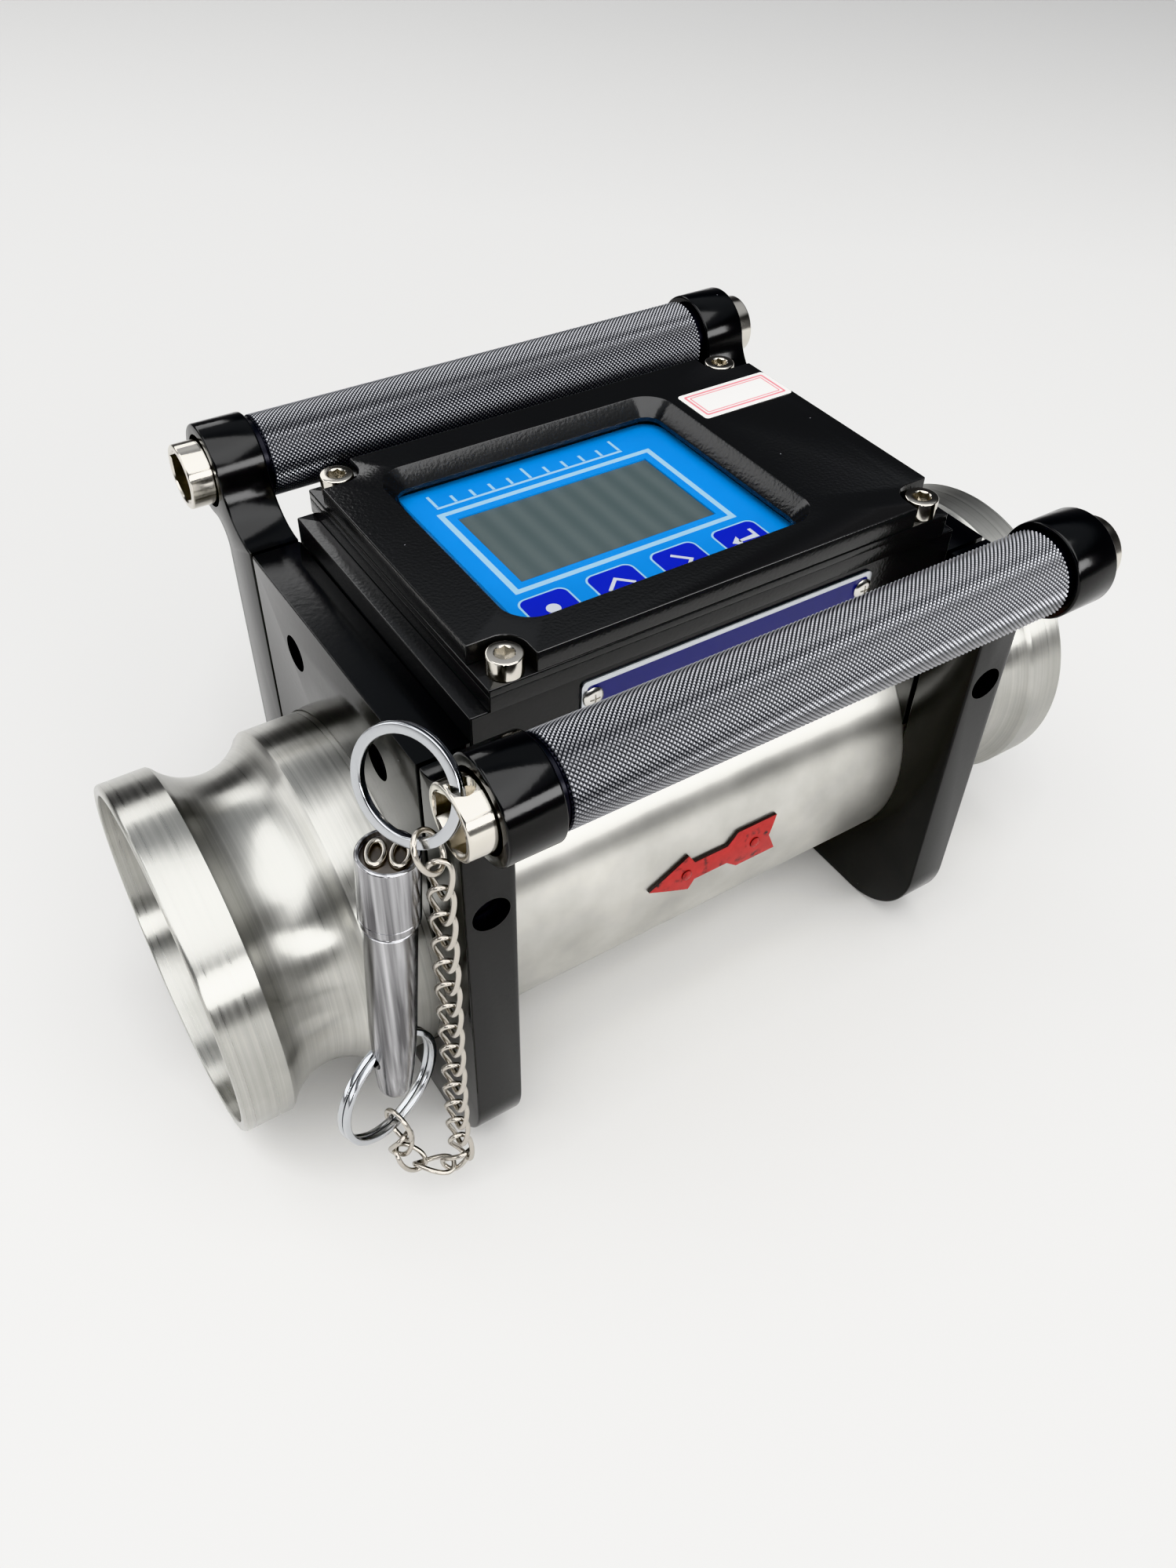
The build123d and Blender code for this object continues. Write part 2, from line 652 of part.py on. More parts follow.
with BuildPart() as battery_holder:
    holder_half_width = cell_radius + slip + holder_wall
    holder_half_length = cell_length / 2 + cell_nub_height + holder_wall
    with BuildSketch(Plane.XY.offset(cavity_bottom)):
        with Locations((cell_x, 0)):
            Rectangle(2 * holder_half_width, 2 * holder_half_length)
    extrude(amount=holder_wall + cell_radius)
    inner = Plane((cell_x, -cell_length / 2 - cell_nub_height, cell_z), x_dir=(1, 0, 0), z_dir=(0, 1, 0))
    with BuildSketch(inner):
        Circle(cell_radius + slip)
    extrude(amount=cell_length + 2 * cell_nub_height, mode=Mode.SUBTRACT)
battery_holder.part.label = "battery_holder"
export_step(battery_holder.part, "parts/battery_holder.step")

# Pickup sensor: it reads the blades through the wall of the tube
with BuildPart() as pickup_sensor:
    with BuildSketch(Plane.XY.offset(pickup_bottom)):
        Circle(pickup_radius - slip)
    extrude(amount=pickup_height)
    with BuildSketch(Plane.XY.offset(cavity_bottom)):
        Circle(pickup_flange_radius)
    extrude(amount=pickup_flange_thickness)
pickup_sensor.part.label = "pickup_sensor"
export_step(pickup_sensor.part, "parts/pickup_sensor.step")

with BuildPart() as nameplate:
    with BuildSketch(front_at(-housing_half_width)):
        with Locations((0, nameplate_z)):
            RectangleRounded(2 * nameplate_half_length, nameplate_height, nameplate_corner)
            with GridLocations(2 * (nameplate_half_length - nameplate_screw_inset_x),
                               nameplate_height - 2 * nameplate_screw_inset_z, 2, 2):
                Circle(pan_screw_radius + slip, mode=Mode.SUBTRACT)
    extrude(amount=nameplate_thickness)
nameplate.part.label = "nameplate"
export_step(nameplate.part, "parts/nameplate.step")

with BuildPart() as nameplate_screws:
    for end in (-1, 1):
        for side in (-1, 1):
            centre = (
                end * (nameplate_half_length - nameplate_screw_inset_x),
                nameplate_z + side * (nameplate_height / 2 - nameplate_screw_inset_z),
            )
            with BuildSketch(front_at(-housing_half_width - nameplate_thickness)):
                with Locations(centre):
                    Circle(pan_head_radius)
            extrude(amount=pan_head_height)
            with BuildSketch(front_at(-housing_half_width - nameplate_thickness)):
                with Locations(centre):
                    Circle(pan_screw_radius)
            extrude(amount=-pan_screw_length)
    heads = faces().filter_by(Axis.Y).group_by(Axis.Y)[0]
    fillet(heads.edges(), pan_head_height / 2)
nameplate_screws.part.label = "nameplate_screws"
export_step(nameplate_screws.part, "parts/nameplate_screws.step")

# Flow arrow: a plate bent to the tube, with its rivets
arrow_lean = math.radians(arrow_angle)
arrow_out = (0, math.cos(arrow_lean), math.sin(arrow_lean))
arrow_foot = (0, tube_radius * arrow_out[1], tube_z + tube_radius * arrow_out[2])
arrow_plane = Plane(arrow_foot, x_dir=(1, 0, 0), z_dir=arrow_out)
with BuildPart() as flow_arrow:
    with BuildSketch(tube_plane):
        with Locations(((arrow_tip_x + arrow_end_x) / 2, tube_radius + slip + arrow_thickness / 2)):
            Rectangle(arrow_end_x - arrow_tip_x + 2, arrow_thickness)
    revolve(axis=tube_axis)
    with BuildSketch(arrow_plane.offset(-tube_radius / 4)):
        with BuildLine():
            Polyline(
                (arrow_tip_x, 0),
                (arrow_barb_x, arrow_half_width),
                (arrow_neck_x, arrow_shaft_half_width),
                (arrow_tail_x0, arrow_shaft_half_width),
                (arrow_tail_x1, arrow_half_width),
                (arrow_end_x, arrow_half_width),
                (arrow_notch_x, 0),
            )
            mirror(about=Plane.XZ)
        make_face()
        with Locations([(x, 0) for x in rivet_x]):
            Circle(rivet_radius + slip, mode=Mode.SUBTRACT)
    extrude(amount=tube_radius / 2, mode=Mode.INTERSECT)
flow_arrow.part.label = "flow_arrow"
export_step(flow_arrow.part, "parts/flow_arrow.step")

with BuildPart() as arrow_rivets:
    for x in rivet_x:
        with BuildSketch(arrow_plane.offset(slip + arrow_thickness)):
            with Locations((x, 0)):
                Circle(rivet_head_radius)
        extrude(amount=rivet_head_height)
        with BuildSketch(arrow_plane.offset(slip + arrow_thickness)):
            with Locations((x, 0)):
                Circle(rivet_radius)
        extrude(amount=-rivet_length)
arrow_rivets.part.label = "arrow_rivets"
export_step(arrow_rivets.part, "parts/arrow_rivets.step")

with BuildPart() as asset_sticker:
    with BuildSketch(Plane.XY.offset(lid_top)):
        with Locations(((sticker_x0 + sticker_x1) / 2, (sticker_y0 + sticker_y1) / 2)):
            RectangleRounded(sticker_x1 - sticker_x0, sticker_y1 - sticker_y0, 1)
    extrude(amount=sticker_thickness)
asset_sticker.part.label = "asset_sticker"
export_step(asset_sticker.part, "parts/asset_sticker.step")

# Flow straightener: a hub with an ogive nose, held in the bore by radial vanes
nose_x = nose_setback - vane_end_x
with BuildPart() as flow_straightener_left:
    with BuildSketch(tube_plane):
        with BuildLine():
            Line((-hub_x, 0), (-hub_x, hub_radius))
            Line((-hub_x, hub_radius), (nose_x + nose_length, hub_radius))
            TangentArc((nose_x + nose_length, hub_radius), (nose_x, 0), tangent=(-1, 0))
            Line((nose_x, 0), (-hub_x, 0))
        make_face()
    revolve(axis=tube_axis)
    with BuildSketch(section_at(-vane_end_x)):
        with Locations((0, tube_z)):
            with PolarLocations(0, vane_count, start_angle=90):
                with Locations((bore_radius / 2, 0)):
                    Rectangle(bore_radius, vane_thickness)
            Circle(bore_radius - slip, mode=Mode.INTERSECT)
    extrude(amount=vane_end_x - throat_half_length)
    with BuildSketch(section_at(-hub_x)):
        with Locations((0, tube_z)):
            Circle(bearing_radius)
    extrude(amount=-bearing_length, mode=Mode.SUBTRACT)
    with BuildSketch(section_at(-hub_x)):
        with Locations((0, tube_z)):
            Circle(shaft_radius + screw_clearance)
    extrude(amount=-(shaft_half_length - hub_x + 1), mode=Mode.SUBTRACT)
flow_straightener_left.part.label = "flow_straightener_left"
export_step(flow_straightener_left.part, "parts/flow_straightener_left.step")

with BuildPart() as flow_straightener_right:
    mirror(flow_straightener_left.part, about=Plane.YZ)
flow_straightener_right.part.label = "flow_straightener_right"
export_step(flow_straightener_right.part, "parts/flow_straightener_right.step")

# Retaining rings with an open end, in their grooves just inside the mouths
with BuildPart() as retaining_rings:
    for end in (-1, 1):
        with BuildSketch(section_at(end * ring_groove_x)):
            with Locations((0, tube_z)):
                Circle(bore_radius + ring_groove_depth - slip)
                Circle(bore_radius + ring_groove_depth - slip - retaining_ring_width,
                       mode=Mode.SUBTRACT)
            with Locations((0, tube_z - bore_radius)):
                Rectangle(retaining_ring_gap, 4 * retaining_ring_width, mode=Mode.SUBTRACT)
        extrude(amount=retaining_ring_thickness / 2, both=True)
retaining_rings.part.label = "retaining_rings"
export_step(retaining_rings.part, "parts/retaining_rings.step")

with BuildPart() as rotor_bearings:
    for end in (-1, 1):
        with BuildSketch(section_at(end * hub_x)):
            with Locations((0, tube_z)):
                Circle(bearing_radius - slip)
                Circle(shaft_radius + slip, mode=Mode.SUBTRACT)
        extrude(amount=end * bearing_length)
rotor_bearings.part.label = "rotor_bearings"
export_step(rotor_bearings.part, "parts/rotor_bearings.step")

# Turbine rotor: twisted blades, each a radial strip that turns as it goes along the axis
blade_tip = throat_radius - blade_clearance
with BuildPart() as blade:
    for step in range(5):
        x = blade_half_length * (step / 2 - 1)
        turn = math.radians(blade_twist * x)
        radial = (0, math.cos(turn), math.sin(turn))
        middle = (hub_radius + tube_radius) / 2
        centre = (x, middle * radial[1], tube_z + middle * radial[2])
        with BuildSketch(Plane(centre, x_dir=radial, z_dir=(1, 0, 0))):
            Rectangle(tube_radius - hub_radius + 2, blade_thickness)
    loft()

with BuildPart() as turbine_rotor:
    with BuildSketch(section_at(-rotor_hub_half_length)):
        with Locations((0, tube_z)):
            Circle(hub_radius)
    extrude(amount=2 * rotor_hub_half_length)
    add([blade.part.rotate(tube_axis, 360 * k / blade_count) for k in range(blade_count)])
    with BuildSketch(section_at(-rotor_hub_half_length)):
        with Locations((0, tube_z)):
            Circle(blade_tip)
    extrude(amount=2 * rotor_hub_half_length, mode=Mode.INTERSECT)
    with BuildSketch(section_at(-rotor_hub_half_length)):
        with Locations((0, tube_z)):
            Circle(shaft_radius)
    extrude(amount=2 * rotor_hub_half_length, mode=Mode.SUBTRACT)
turbine_rotor.part.label = "turbine_rotor"
export_step(turbine_rotor.part, "parts/turbine_rotor.step")

with BuildPart() as rotor_shaft:
    with BuildSketch(section_at(-shaft_half_length)):
        with Locations((0, tube_z)):
            Circle(shaft_radius)
    extrude(amount=2 * shaft_half_length)
rotor_shaft.part.label = "rotor_shaft"
export_step(rotor_shaft.part, "parts/rotor_shaft.step")


def banded_ring(centre, normal, outer, band, thickness, groove):
    """A ring of flat section with a line round its rim where its two coils meet."""
    ring_plane = Plane(centre, z_dir=normal)
    half = Plane(centre, x_dir=ring_plane.x_dir, z_dir=ring_plane.y_dir)
    with BuildPart() as ring:
        with BuildSketch(half):
            with Locations((outer - band / 2, 0)):
                Rectangle(band, thickness)
            with Locations((outer, 0), (outer - band, 0)):
                Rectangle(2 * groove, groove, mode=Mode.SUBTRACT)
        revolve(axis=Axis(centre, normal))
    return ring.part


with BuildPart() as key_ring:
    add(banded_ring(key_ring_centre, key_ring_normal, key_ring_radius, key_ring_band,
                    key_ring_thickness, 0.15))
key_ring.part.label = "key_ring"
export_step(key_ring.part, "parts/key_ring.step")

# Stylus: a turned steel body with a cup for the magnet at its head and a cross hole near its tip
stylus_line = Vector(*stylus_top) - Vector(*stylus_tip)
stylus_length = stylus_line.length
stylus_plane = Plane(stylus_tip, x_dir=split_ring_normal, z_dir=stylus_line.normalized())
stylus_side = Plane(stylus_tip, x_dir=stylus_plane.x_dir, z_dir=-stylus_plane.y_dir)
with BuildPart() as stylus_pen:
    head_base = stylus_length - stylus_head_length
    with BuildSketch(stylus_side):
        with BuildLine():
            Line((0, 0), (stylus_tip_radius / 4, 0))
            TangentArc((stylus_tip_radius / 4, 0), (stylus_tip_radius, stylus_tip_radius),
                       tangent=(1, 0))
            Line((stylus_tip_radius, stylus_tip_radius), (stylus_body_radius, stylus_taper_length))
            Polyline(
                (stylus_body_radius, stylus_taper_length),
                (stylus_body_radius, head_base - stylus_collar_groove),
                (stylus_body_radius - stylus_collar_groove / 2, head_base - stylus_collar_groove / 2),
                (stylus_body_radius, head_base),
                (stylus_head_radius, head_base + stylus_collar_groove / 2),
                (stylus_head_radius, stylus_length),
                (0, stylus_length),
                (0, 0),
            )
        make_face()
    revolve(axis=Axis(stylus_tip, tuple(stylus_line.normalized())))
    with BuildSketch(stylus_plane.offset(stylus_length)):
        Circle(stylus_head_radius - stylus_cup_wall)
    extrude(amount=-(stylus_cup_depth + magnet_thickness), mode=Mode.SUBTRACT)
    hole_centre = Vector(*split_ring_centre) + Vector(0, 0, split_ring_radius - split_wire / 2)
    with BuildSketch(Plane(hole_centre, z_dir=stylus_plane.y_dir)):
        Circle(split_hole_radius)
    extrude(amount=2 * stylus_body_radius, both=True, mode=Mode.SUBTRACT)
stylus_pen.part.label = "stylus_pen"
export_step(stylus_pen.part, "parts/stylus_pen.step")

with BuildPart() as stylus_magnet:
    with BuildSketch(stylus_plane.offset(stylus_length - stylus_cup_depth)):
        Circle(stylus_head_radius - stylus_cup_wall - slip)
    extrude(amount=-magnet_thickness)
stylus_magnet.part.label = "stylus_magnet"
export_step(stylus_magnet.part, "parts/stylus_magnet.step")

with BuildPart() as split_ring:
    add(banded_ring(split_ring_centre, split_ring_normal, split_ring_radius, split_wire,
                    split_coils * split_wire, split_groove))
split_ring.part.label = "split_ring"
export_step(split_ring.part, "parts/split_ring.step")


def wire_point(half_length, half_width, twist, squareness, t):
    """A point on the middle of a link's wire, on an oval that is twisted along its length."""
    along = half_length * math.copysign(abs(math.cos(t)) ** squareness, math.cos(t))
    across = half_width * math.copysign(abs(math.sin(t)) ** squareness, math.sin(t))
    lean = math.radians(twist) * along / half_length
    return Vector(along, across * math.cos(lean), across * math.sin(lean))


def wire_link(half_length, half_width, twist, squareness):
    """A closed loop of wire in short straight lengths, with its two ends twisted apart."""
    with BuildPart() as link:
        for half in (0, 1):
            for step in range(link_stations // 2 + 1):
                t = math.pi * (half + 2 * step / link_stations)
                point = wire_point(half_length, half_width, twist, squareness, t)
                ahead = wire_point(half_length, half_width, twist, squareness, t + 0.02)
                before = wire_point(half_length, half_width, twist, squareness, t - 0.02)
                along = (ahead - before).normalized()
                outward = point - along * point.dot(along)
                with BuildSketch(Plane(point, x_dir=outward, z_dir=along)):
                    RegularPolygon(chain_wire_radius, 6)
            loft(ruled=True)
    return link.part


def hung_link(ring_centre, ring_normal, ring_radius, ring_section, turn, pull):
    """The place of an end link that hangs round a ring, and the joint at its far end."""
    spindle = Vector(*ring_normal).normalized()
    lowest = (spindle * spindle.Z - Vector(0, 0, 1)).normalized()
    sideways = spindle.cross(lowest)
    lean = math.radians(turn)
    spot = Vector(*ring_centre) + (lowest * math.cos(lean) + sideways * math.sin(lean)) * ring_radius
    tangent = sideways * math.cos(lean) - lowest * math.sin(lean)
    run = (Vector(*pull) - tangent * Vector(*pull).dot(tangent)).normalized()
    seat = chain_wire_radius + ring_section / 2 + end_link_clearance
    middle = spot + run * (end_link_half_length - seat)
    joint = middle + run * (end_link_half_length - end_link_reach)
    return Plane(middle, x_dir=run, z_dir=tangent).location, joint


# Curb chain: down from the key ring, round a free loop and up to the split ring
curb_link = wire_link(link_half_length, link_half_width, link_twist, link_squareness)
end_link = wire_link(end_link_half_length, end_link_half_width, 0, 1)
top_place, top_joint = hung_link(
    key_ring_centre, key_ring_normal, key_ring_radius - key_ring_band / 2,
    math.hypot(key_ring_band, key_ring_thickness), key_ring_turn, key_ring_pull,
)
end_place, end_joint = hung_link(
    split_ring_centre, split_ring_normal, split_ring_radius - split_wire / 2,
    math.hypot(split_wire, split_coils * split_wire), 0, split_ring_pull,
)
with BuildLine() as chain_route:
    Line(top_joint, chain_turn)
    ThreePointArc(chain_turn, chain_low, end_joint)
route = chain_route.wires()[0]
link_count = round(route.length / link_pitch)
drop_share = (Vector(*chain_turn) - top_joint).length / route.length
joints = [route.position_at(k / link_count) for k in range(link_count + 1)]
with BuildPart() as chain:
    links = [end_link.moved(top_place), end_link.moved(end_place)]
    for k in range(link_count):
        run = (joints[k + 1] - joints[k]).normalized()
        flat = Vector(*chain_face) - run * Vector(*chain_face).dot(run)
        loop_share = max(0, ((k + 0.5) / link_count - drop_share) / (1 - drop_share))
        flat = flat.rotate(Axis((0, 0, 0), tuple(run)), chain_roll * loop_share)
        place = Plane((joints[k] + joints[k + 1]) * 0.5, x_dir=run, z_dir=flat).location
        links.append(curb_link.moved(place))
    add(links)
chain.part.label = "chain"
export_step(chain.part, "parts/chain.step")
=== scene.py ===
# %% [markdown]
# # A portable turbine flow meter
# The solids give every piece its place and size. This file dresses them: each visible piece is
# made again as a fine mesh worked out with numpy, so that round things are round in a close
# view, and every surface gets a finish built from shader nodes.

# %% Load the frame
import math

import bmesh
import bpy
import numpy as np
from mathutils import Matrix, Vector
from mathutils.geometry import delaunay_2d_cdt


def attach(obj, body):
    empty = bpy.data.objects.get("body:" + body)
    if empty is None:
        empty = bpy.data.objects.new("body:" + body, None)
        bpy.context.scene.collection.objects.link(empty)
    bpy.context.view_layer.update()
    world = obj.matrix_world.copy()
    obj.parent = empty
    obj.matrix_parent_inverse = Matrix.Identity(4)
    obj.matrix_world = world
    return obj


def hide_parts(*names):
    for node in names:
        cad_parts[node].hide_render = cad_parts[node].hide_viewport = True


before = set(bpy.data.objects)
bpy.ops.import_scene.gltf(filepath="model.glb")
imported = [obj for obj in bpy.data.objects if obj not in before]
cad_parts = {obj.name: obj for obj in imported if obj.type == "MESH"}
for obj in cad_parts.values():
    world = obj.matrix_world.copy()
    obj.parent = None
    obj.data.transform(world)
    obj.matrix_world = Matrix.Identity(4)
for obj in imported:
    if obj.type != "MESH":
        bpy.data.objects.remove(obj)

scene = bpy.context.scene
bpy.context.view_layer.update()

# %% [markdown]
# ## Colours and nodes
# A colour picked from a picture is in sRGB, and a shader works in linear light, so one function
# turns the hex code. The others each add one kind of node, set it and link it, which keeps
# each finish short enough to read as a recipe.

# %% Colour and node helpers
MM = 0.001


def linear(code):
    """Linear RGBA of an sRGB hex code: the low part divides by 12.92, the rest is a 2.4 power."""
    c = np.array([int(code[i:i + 2], 16) for i in (1, 3, 5)]) / 255
    c = np.where(c <= 0.04045, c / 12.92, ((c + 0.055) / 1.055) ** 2.4)
    return (*c.tolist(), 1.0)


def add_node(tree, kind, inputs=None, **settings):
    """Adds one node. Its inputs are values to set or sockets to link from."""
    node = tree.nodes.new(kind)
    for name, value in settings.items():
        setattr(node, name, value)
    for name, value in (inputs or {}).items():
        if isinstance(value, bpy.types.NodeSocket):
            tree.links.new(value, node.inputs[name])
        else:
            node.inputs[name].default_value = value
    return node


def new_finish(name, **sockets):
    """A material with one Principled shader, and its sockets set by name."""
    material = bpy.data.materials.new(name)
    material.use_nodes = True
    tree = material.node_tree
    shader = tree.nodes["Principled BSDF"]
    for socket, value in sockets.items():
        shader.inputs[socket.replace("_", " ")].default_value = value
    return material, tree, shader


def object_place(tree):
    """A point's place in metres, in the piece's own space."""
    return add_node(tree, "ShaderNodeTexCoord").outputs["Object"]


def parts(tree, place):
    """The place split into X, Y and Z."""
    return add_node(tree, "ShaderNodeSeparateXYZ", {"Vector": place}).outputs


def noise(tree, place, per_metre, detail=4.0, **more):
    """Noise with that many waves to a metre."""
    return add_node(tree, "ShaderNodeTexNoise", {"Vector": place, "Scale": per_metre,
                                                 "Detail": detail, **more}).outputs["Fac"]


def spread(tree, value, to_low=0.0, to_high=1.0, low=0.0, high=1.0):
    """How far the value is from low to high, held between 0 and 1, then that far from to_low
    to to_high."""
    return add_node(tree, "ShaderNodeMapRange",
                    {"Value": value, "From Min": low, "From Max": high, "To Min": to_low,
                     "To Max": to_high}).outputs[0]


def reckon(tree, operation, a, b=0.0):
    """One sum with one or two numbers."""
    return add_node(tree, "ShaderNodeMath", {0: a, 1: b}, operation=operation).outputs[0]


def vector(tree, operation, a, b=(0, 0, 0)):
    """One sum with one or two vectors."""
    return add_node(tree, "ShaderNodeVectorMath", {0: a, 1: b}, operation=operation)


def blend(tree, factor, first, second):
    """The colour that far from the first to the second: hex codes, colours or sockets."""
    first, second = (linear(c) if isinstance(c, str) else c for c in (first, second))
    return add_node(tree, "ShaderNodeMix", {"Factor": factor, 6: first, 7: second},
                    data_type="RGBA").outputs[2]


def feed(tree, shader, **sockets):
    """Links what feeds each of the shader's sockets, by name."""
    for socket, value in sockets.items():
        tree.links.new(value, shader.inputs[socket.replace("_", " ")])


def relief(tree, shader, height, strength, depth):
    """Tilts the surface by the slope of a height between 0 and 1 that stands for depth metres."""
    bump = add_node(tree, "ShaderNodeBump",
                    {"Height": height, "Strength": strength, "Distance": depth})
    feed(tree, shader, Normal=bump.outputs[0])


print("black paint in linear light:", [round(v, 4) for v in linear("#0B0B0C")])

# %% [markdown]
# ## Turned stainless steel
# The tube and its ends are stainless steel from a lathe. The tool leaves fine rings round the
# axis, so the noise runs only along the axis and is the same all the way round. The ends are
# cut bright, and the middle between the plates is rubbed to a satin grain. Both are one piece,
# so one finish blends from one to the other by the distance from the middle.

# %% Finish of the flow tube
turned_steel, tree, shader = new_finish("turned_stainless_steel", Metallic=1.0, Anisotropic=0.9,
                                        Anisotropic_Rotation=0.25)
satin_end, bright_start, satin_tone = 0.078, 0.080, 0.92
marks_per_metre, smears_per_metre = 900.0, 45.0
place = object_place(tree)
along = parts(tree, place)["X"]
bright = spread(tree, reckon(tree, "ABSOLUTE", along), low=satin_end, high=bright_start)
tool_marks = add_node(tree, "ShaderNodeTexNoise",
                      {"W": along, "Scale": marks_per_metre, "Detail": 5.0, "Roughness": 0.7},
                      noise_dimensions="1D").outputs["Fac"]
smears = noise(tree, place, smears_per_metre)
rough = add_node(tree, "ShaderNodeMix",
                 {"Factor": bright, 2: spread(tree, smears, 0.27, 0.40),
                  3: spread(tree, tool_marks, 0.20, 0.42)}).outputs[0]
ringed = add_node(tree, "ShaderNodeMix",
                  {"Factor": bright, 2: satin_tone, 3: tool_marks}).outputs[0]
patches = reckon(tree, "MULTIPLY", smears, ringed)
round_axis = add_node(tree, "ShaderNodeTangent", direction_type="RADIAL", axis="X")
feed(tree, shader, Roughness=rough, Base_Color=blend(tree, patches, "#9A9A96", "#F4F2EC"),
     Tangent=round_axis.outputs[0])
relief(tree, shader, reckon(tree, "MULTIPLY", ringed, tool_marks), 0.45, 0.03 * MM)
print("tool marks every", round(1000 / marks_per_metre, 2), "mm and finer")

# %% [markdown]
# ## Gloss black paint
# The plates, the housing and the lid are painted aluminium. Sprayed gloss paint dries to a
# fine orange peel, waves of about a millimetre, which breaks up the reflections. A clear coat
# over a nearly black base gives the sharp highlights. Pale specks painted into the colour stand for
# glints of light off the peel.

# %% Finish of the painted pieces
clouds_per_metre, glints_per_metre, glint_share = 30.0, 110.0, 0.022


def gloss_paint(name, black, gloss_level, peel_mm, peel_depth, roughness):
    """Black paint with an orange peel of that wave length. A painted glint, a pale speck that
    stands for light off the peel, is where the distance to the nearest cell's middle is under its
    share of a cell."""
    material, tree, shader = new_finish(name, Specular_IOR_Level=gloss_level)
    place = object_place(tree)
    peel = noise(tree, place, 1000 / peel_mm, 2.0, Roughness=0.45)
    cloud = noise(tree, place, clouds_per_metre, 3.0)
    # Pale specks are painted glints: light off the orange peel, put into the paint's colour.
    glint_cells = add_node(tree, "ShaderNodeTexVoronoi", {"Vector": place, "Scale": glints_per_metre})
    painted_glint = reckon(tree, "LESS_THAN", glint_cells.outputs["Distance"], glint_share)
    feed(tree, shader, Roughness=spread(tree, cloud, roughness, roughness + 0.1),
         Base_Color=blend(tree, painted_glint, black, "#77777A"))
    relief(tree, shader, peel, 0.5, peel_depth * MM)
    return material


plate_paint = gloss_paint("black_gloss_paint", "#0C0C0C", 0.4, 1.5, 0.03, 0.1)
lid_paint = gloss_paint("black_gloss_paint_with_orange_peel", "#212121", 0.5, 0.8, 0.07, 0.12)
print("paints:", plate_paint.name, lid_paint.name)

# %% [markdown]
# ## Diamond knurling
# The grips are rolled between two wheels, which press two sets of helical grooves and leave
# small pyramids. The pyramids are real facets in the mesh further down. Their colour carries
# painted shade deep in the grooves and a painted highlight on the tips, going from dark to
# bright with the distance from the grip's axis.

# %% Finish of the grips
handle_y, handle_z, grip_radius = 68.8, 137.8, 10.3
knurl_count, knurl_depth = 56, 0.3
knurl_pitch = 2 * math.pi * grip_radius / knurl_count
knurled_steel, tree, shader = new_finish("knurled_black_oxide_steel", Metallic=1.0, Roughness=0.3)
axes = parts(tree, object_place(tree))
side = reckon(tree, "ABSOLUTE", axes["Y"])
off_axis = add_node(tree, "ShaderNodeCombineXYZ",
                    {"X": reckon(tree, "SUBTRACT", side, handle_y * MM),
                     "Y": reckon(tree, "SUBTRACT", axes["Z"], handle_z * MM)})
from_axis = vector(tree, "LENGTH", off_axis.outputs[0])
# Painted shade in the grooves and painted highlight on the tips: dark near the axis, bright at the
# tips.
painted_groove_shade_tip_highlight = spread(tree, from_axis.outputs["Value"], low=(grip_radius - knurl_depth) * MM,
              high=grip_radius * MM)
feed(tree, shader, Base_Color=blend(tree, painted_groove_shade_tip_highlight, "#28282B", "#BDBEC2"))
print("knurl pitch", round(knurl_pitch, 3), "mm")

# %% [markdown]
# ## Plated and polished small parts
# Bolts, screws, rings, chain and stylus are steel under nickel or polished bare. They differ
# in tint, in roughness and in the size of the faint marks on them, so one function makes them.
# The stylus has painted reflections: light and dark streaks in its colour that run along it.


# %% Finishes of the fasteners, rings and stylus
def bright_metal(name, colour, roughness, mark_mm, mark_depth=0.004):
    """Bare or plated metal with faint marks of that size, in its gloss and its relief."""
    material, tree, shader = new_finish(name, Metallic=1.0, Base_Color=linear(colour))
    marks = noise(tree, object_place(tree), 1000 / mark_mm)
    feed(tree, shader, Roughness=spread(tree, marks, roughness * 0.7, roughness * 1.4))
    relief(tree, shader, marks, 0.4, mark_depth * MM)
    return material


nickel = bright_metal("bright_nickel_plate", "#D2CEC6", 0.13, 1.5)
screw_steel = bright_metal("bright_zinc_plate", "#CFCDC8", 0.2, 0.8)
black_oxide = bright_metal("black_oxide_steel", "#55555A", 0.3, 0.6)
ring_steel = bright_metal("polished_spring_steel", "#BDBFC2", 0.16, 1.0)
chain_steel = bright_metal("plated_steel_wire", "#BDB8B0", 0.22, 0.7, 0.008)
stylus_steel = bright_metal("brushed_stainless_steel", "#8E8D8F", 0.2, 3.0, 0.001)
tree = stylus_steel.node_tree
shader = tree.nodes["Principled BSDF"]
shader.inputs["Anisotropic"].default_value = 0.6
shader.inputs["Anisotropic Rotation"].default_value = 0.25
# Painted reflections: light and dark streaks in the stylus's colour, stretched along its length.
streaks_across, streaks_along = 520.0, 9.0
streak_place = vector(tree, "MULTIPLY", object_place(tree), (streaks_across, streaks_across, streaks_along))
painted_reflection_streaks = spread(tree, noise(tree, streak_place.outputs[0], 1.0, 3.0), low=0.35, high=0.65)
round_stylus = add_node(tree, "ShaderNodeTangent", direction_type="RADIAL", axis="Z")
feed(tree, shader, Base_Color=blend(tree, painted_reflection_streaks, "#626163", "#C4C4C6"),
     Tangent=round_stylus.outputs[0])
magnet_plate = bright_metal("nickel_plated_magnet", "#6E6A66", 0.32, 0.6)
machined_aluminium = bright_metal("machined_aluminium", "#C6C7C9", 0.32, 0.5)
ground_steel = bright_metal("ground_bearing_steel", "#C9C9C9", 0.18, 0.4)
blade_steel = bright_metal("satin_rotor_steel", "#B5B5B2", 0.34, 0.6)
brass = bright_metal("turned_brass", "#C9A356", 0.26, 0.6)
print("metals:", len([m for m in bpy.data.materials if m.node_tree]))

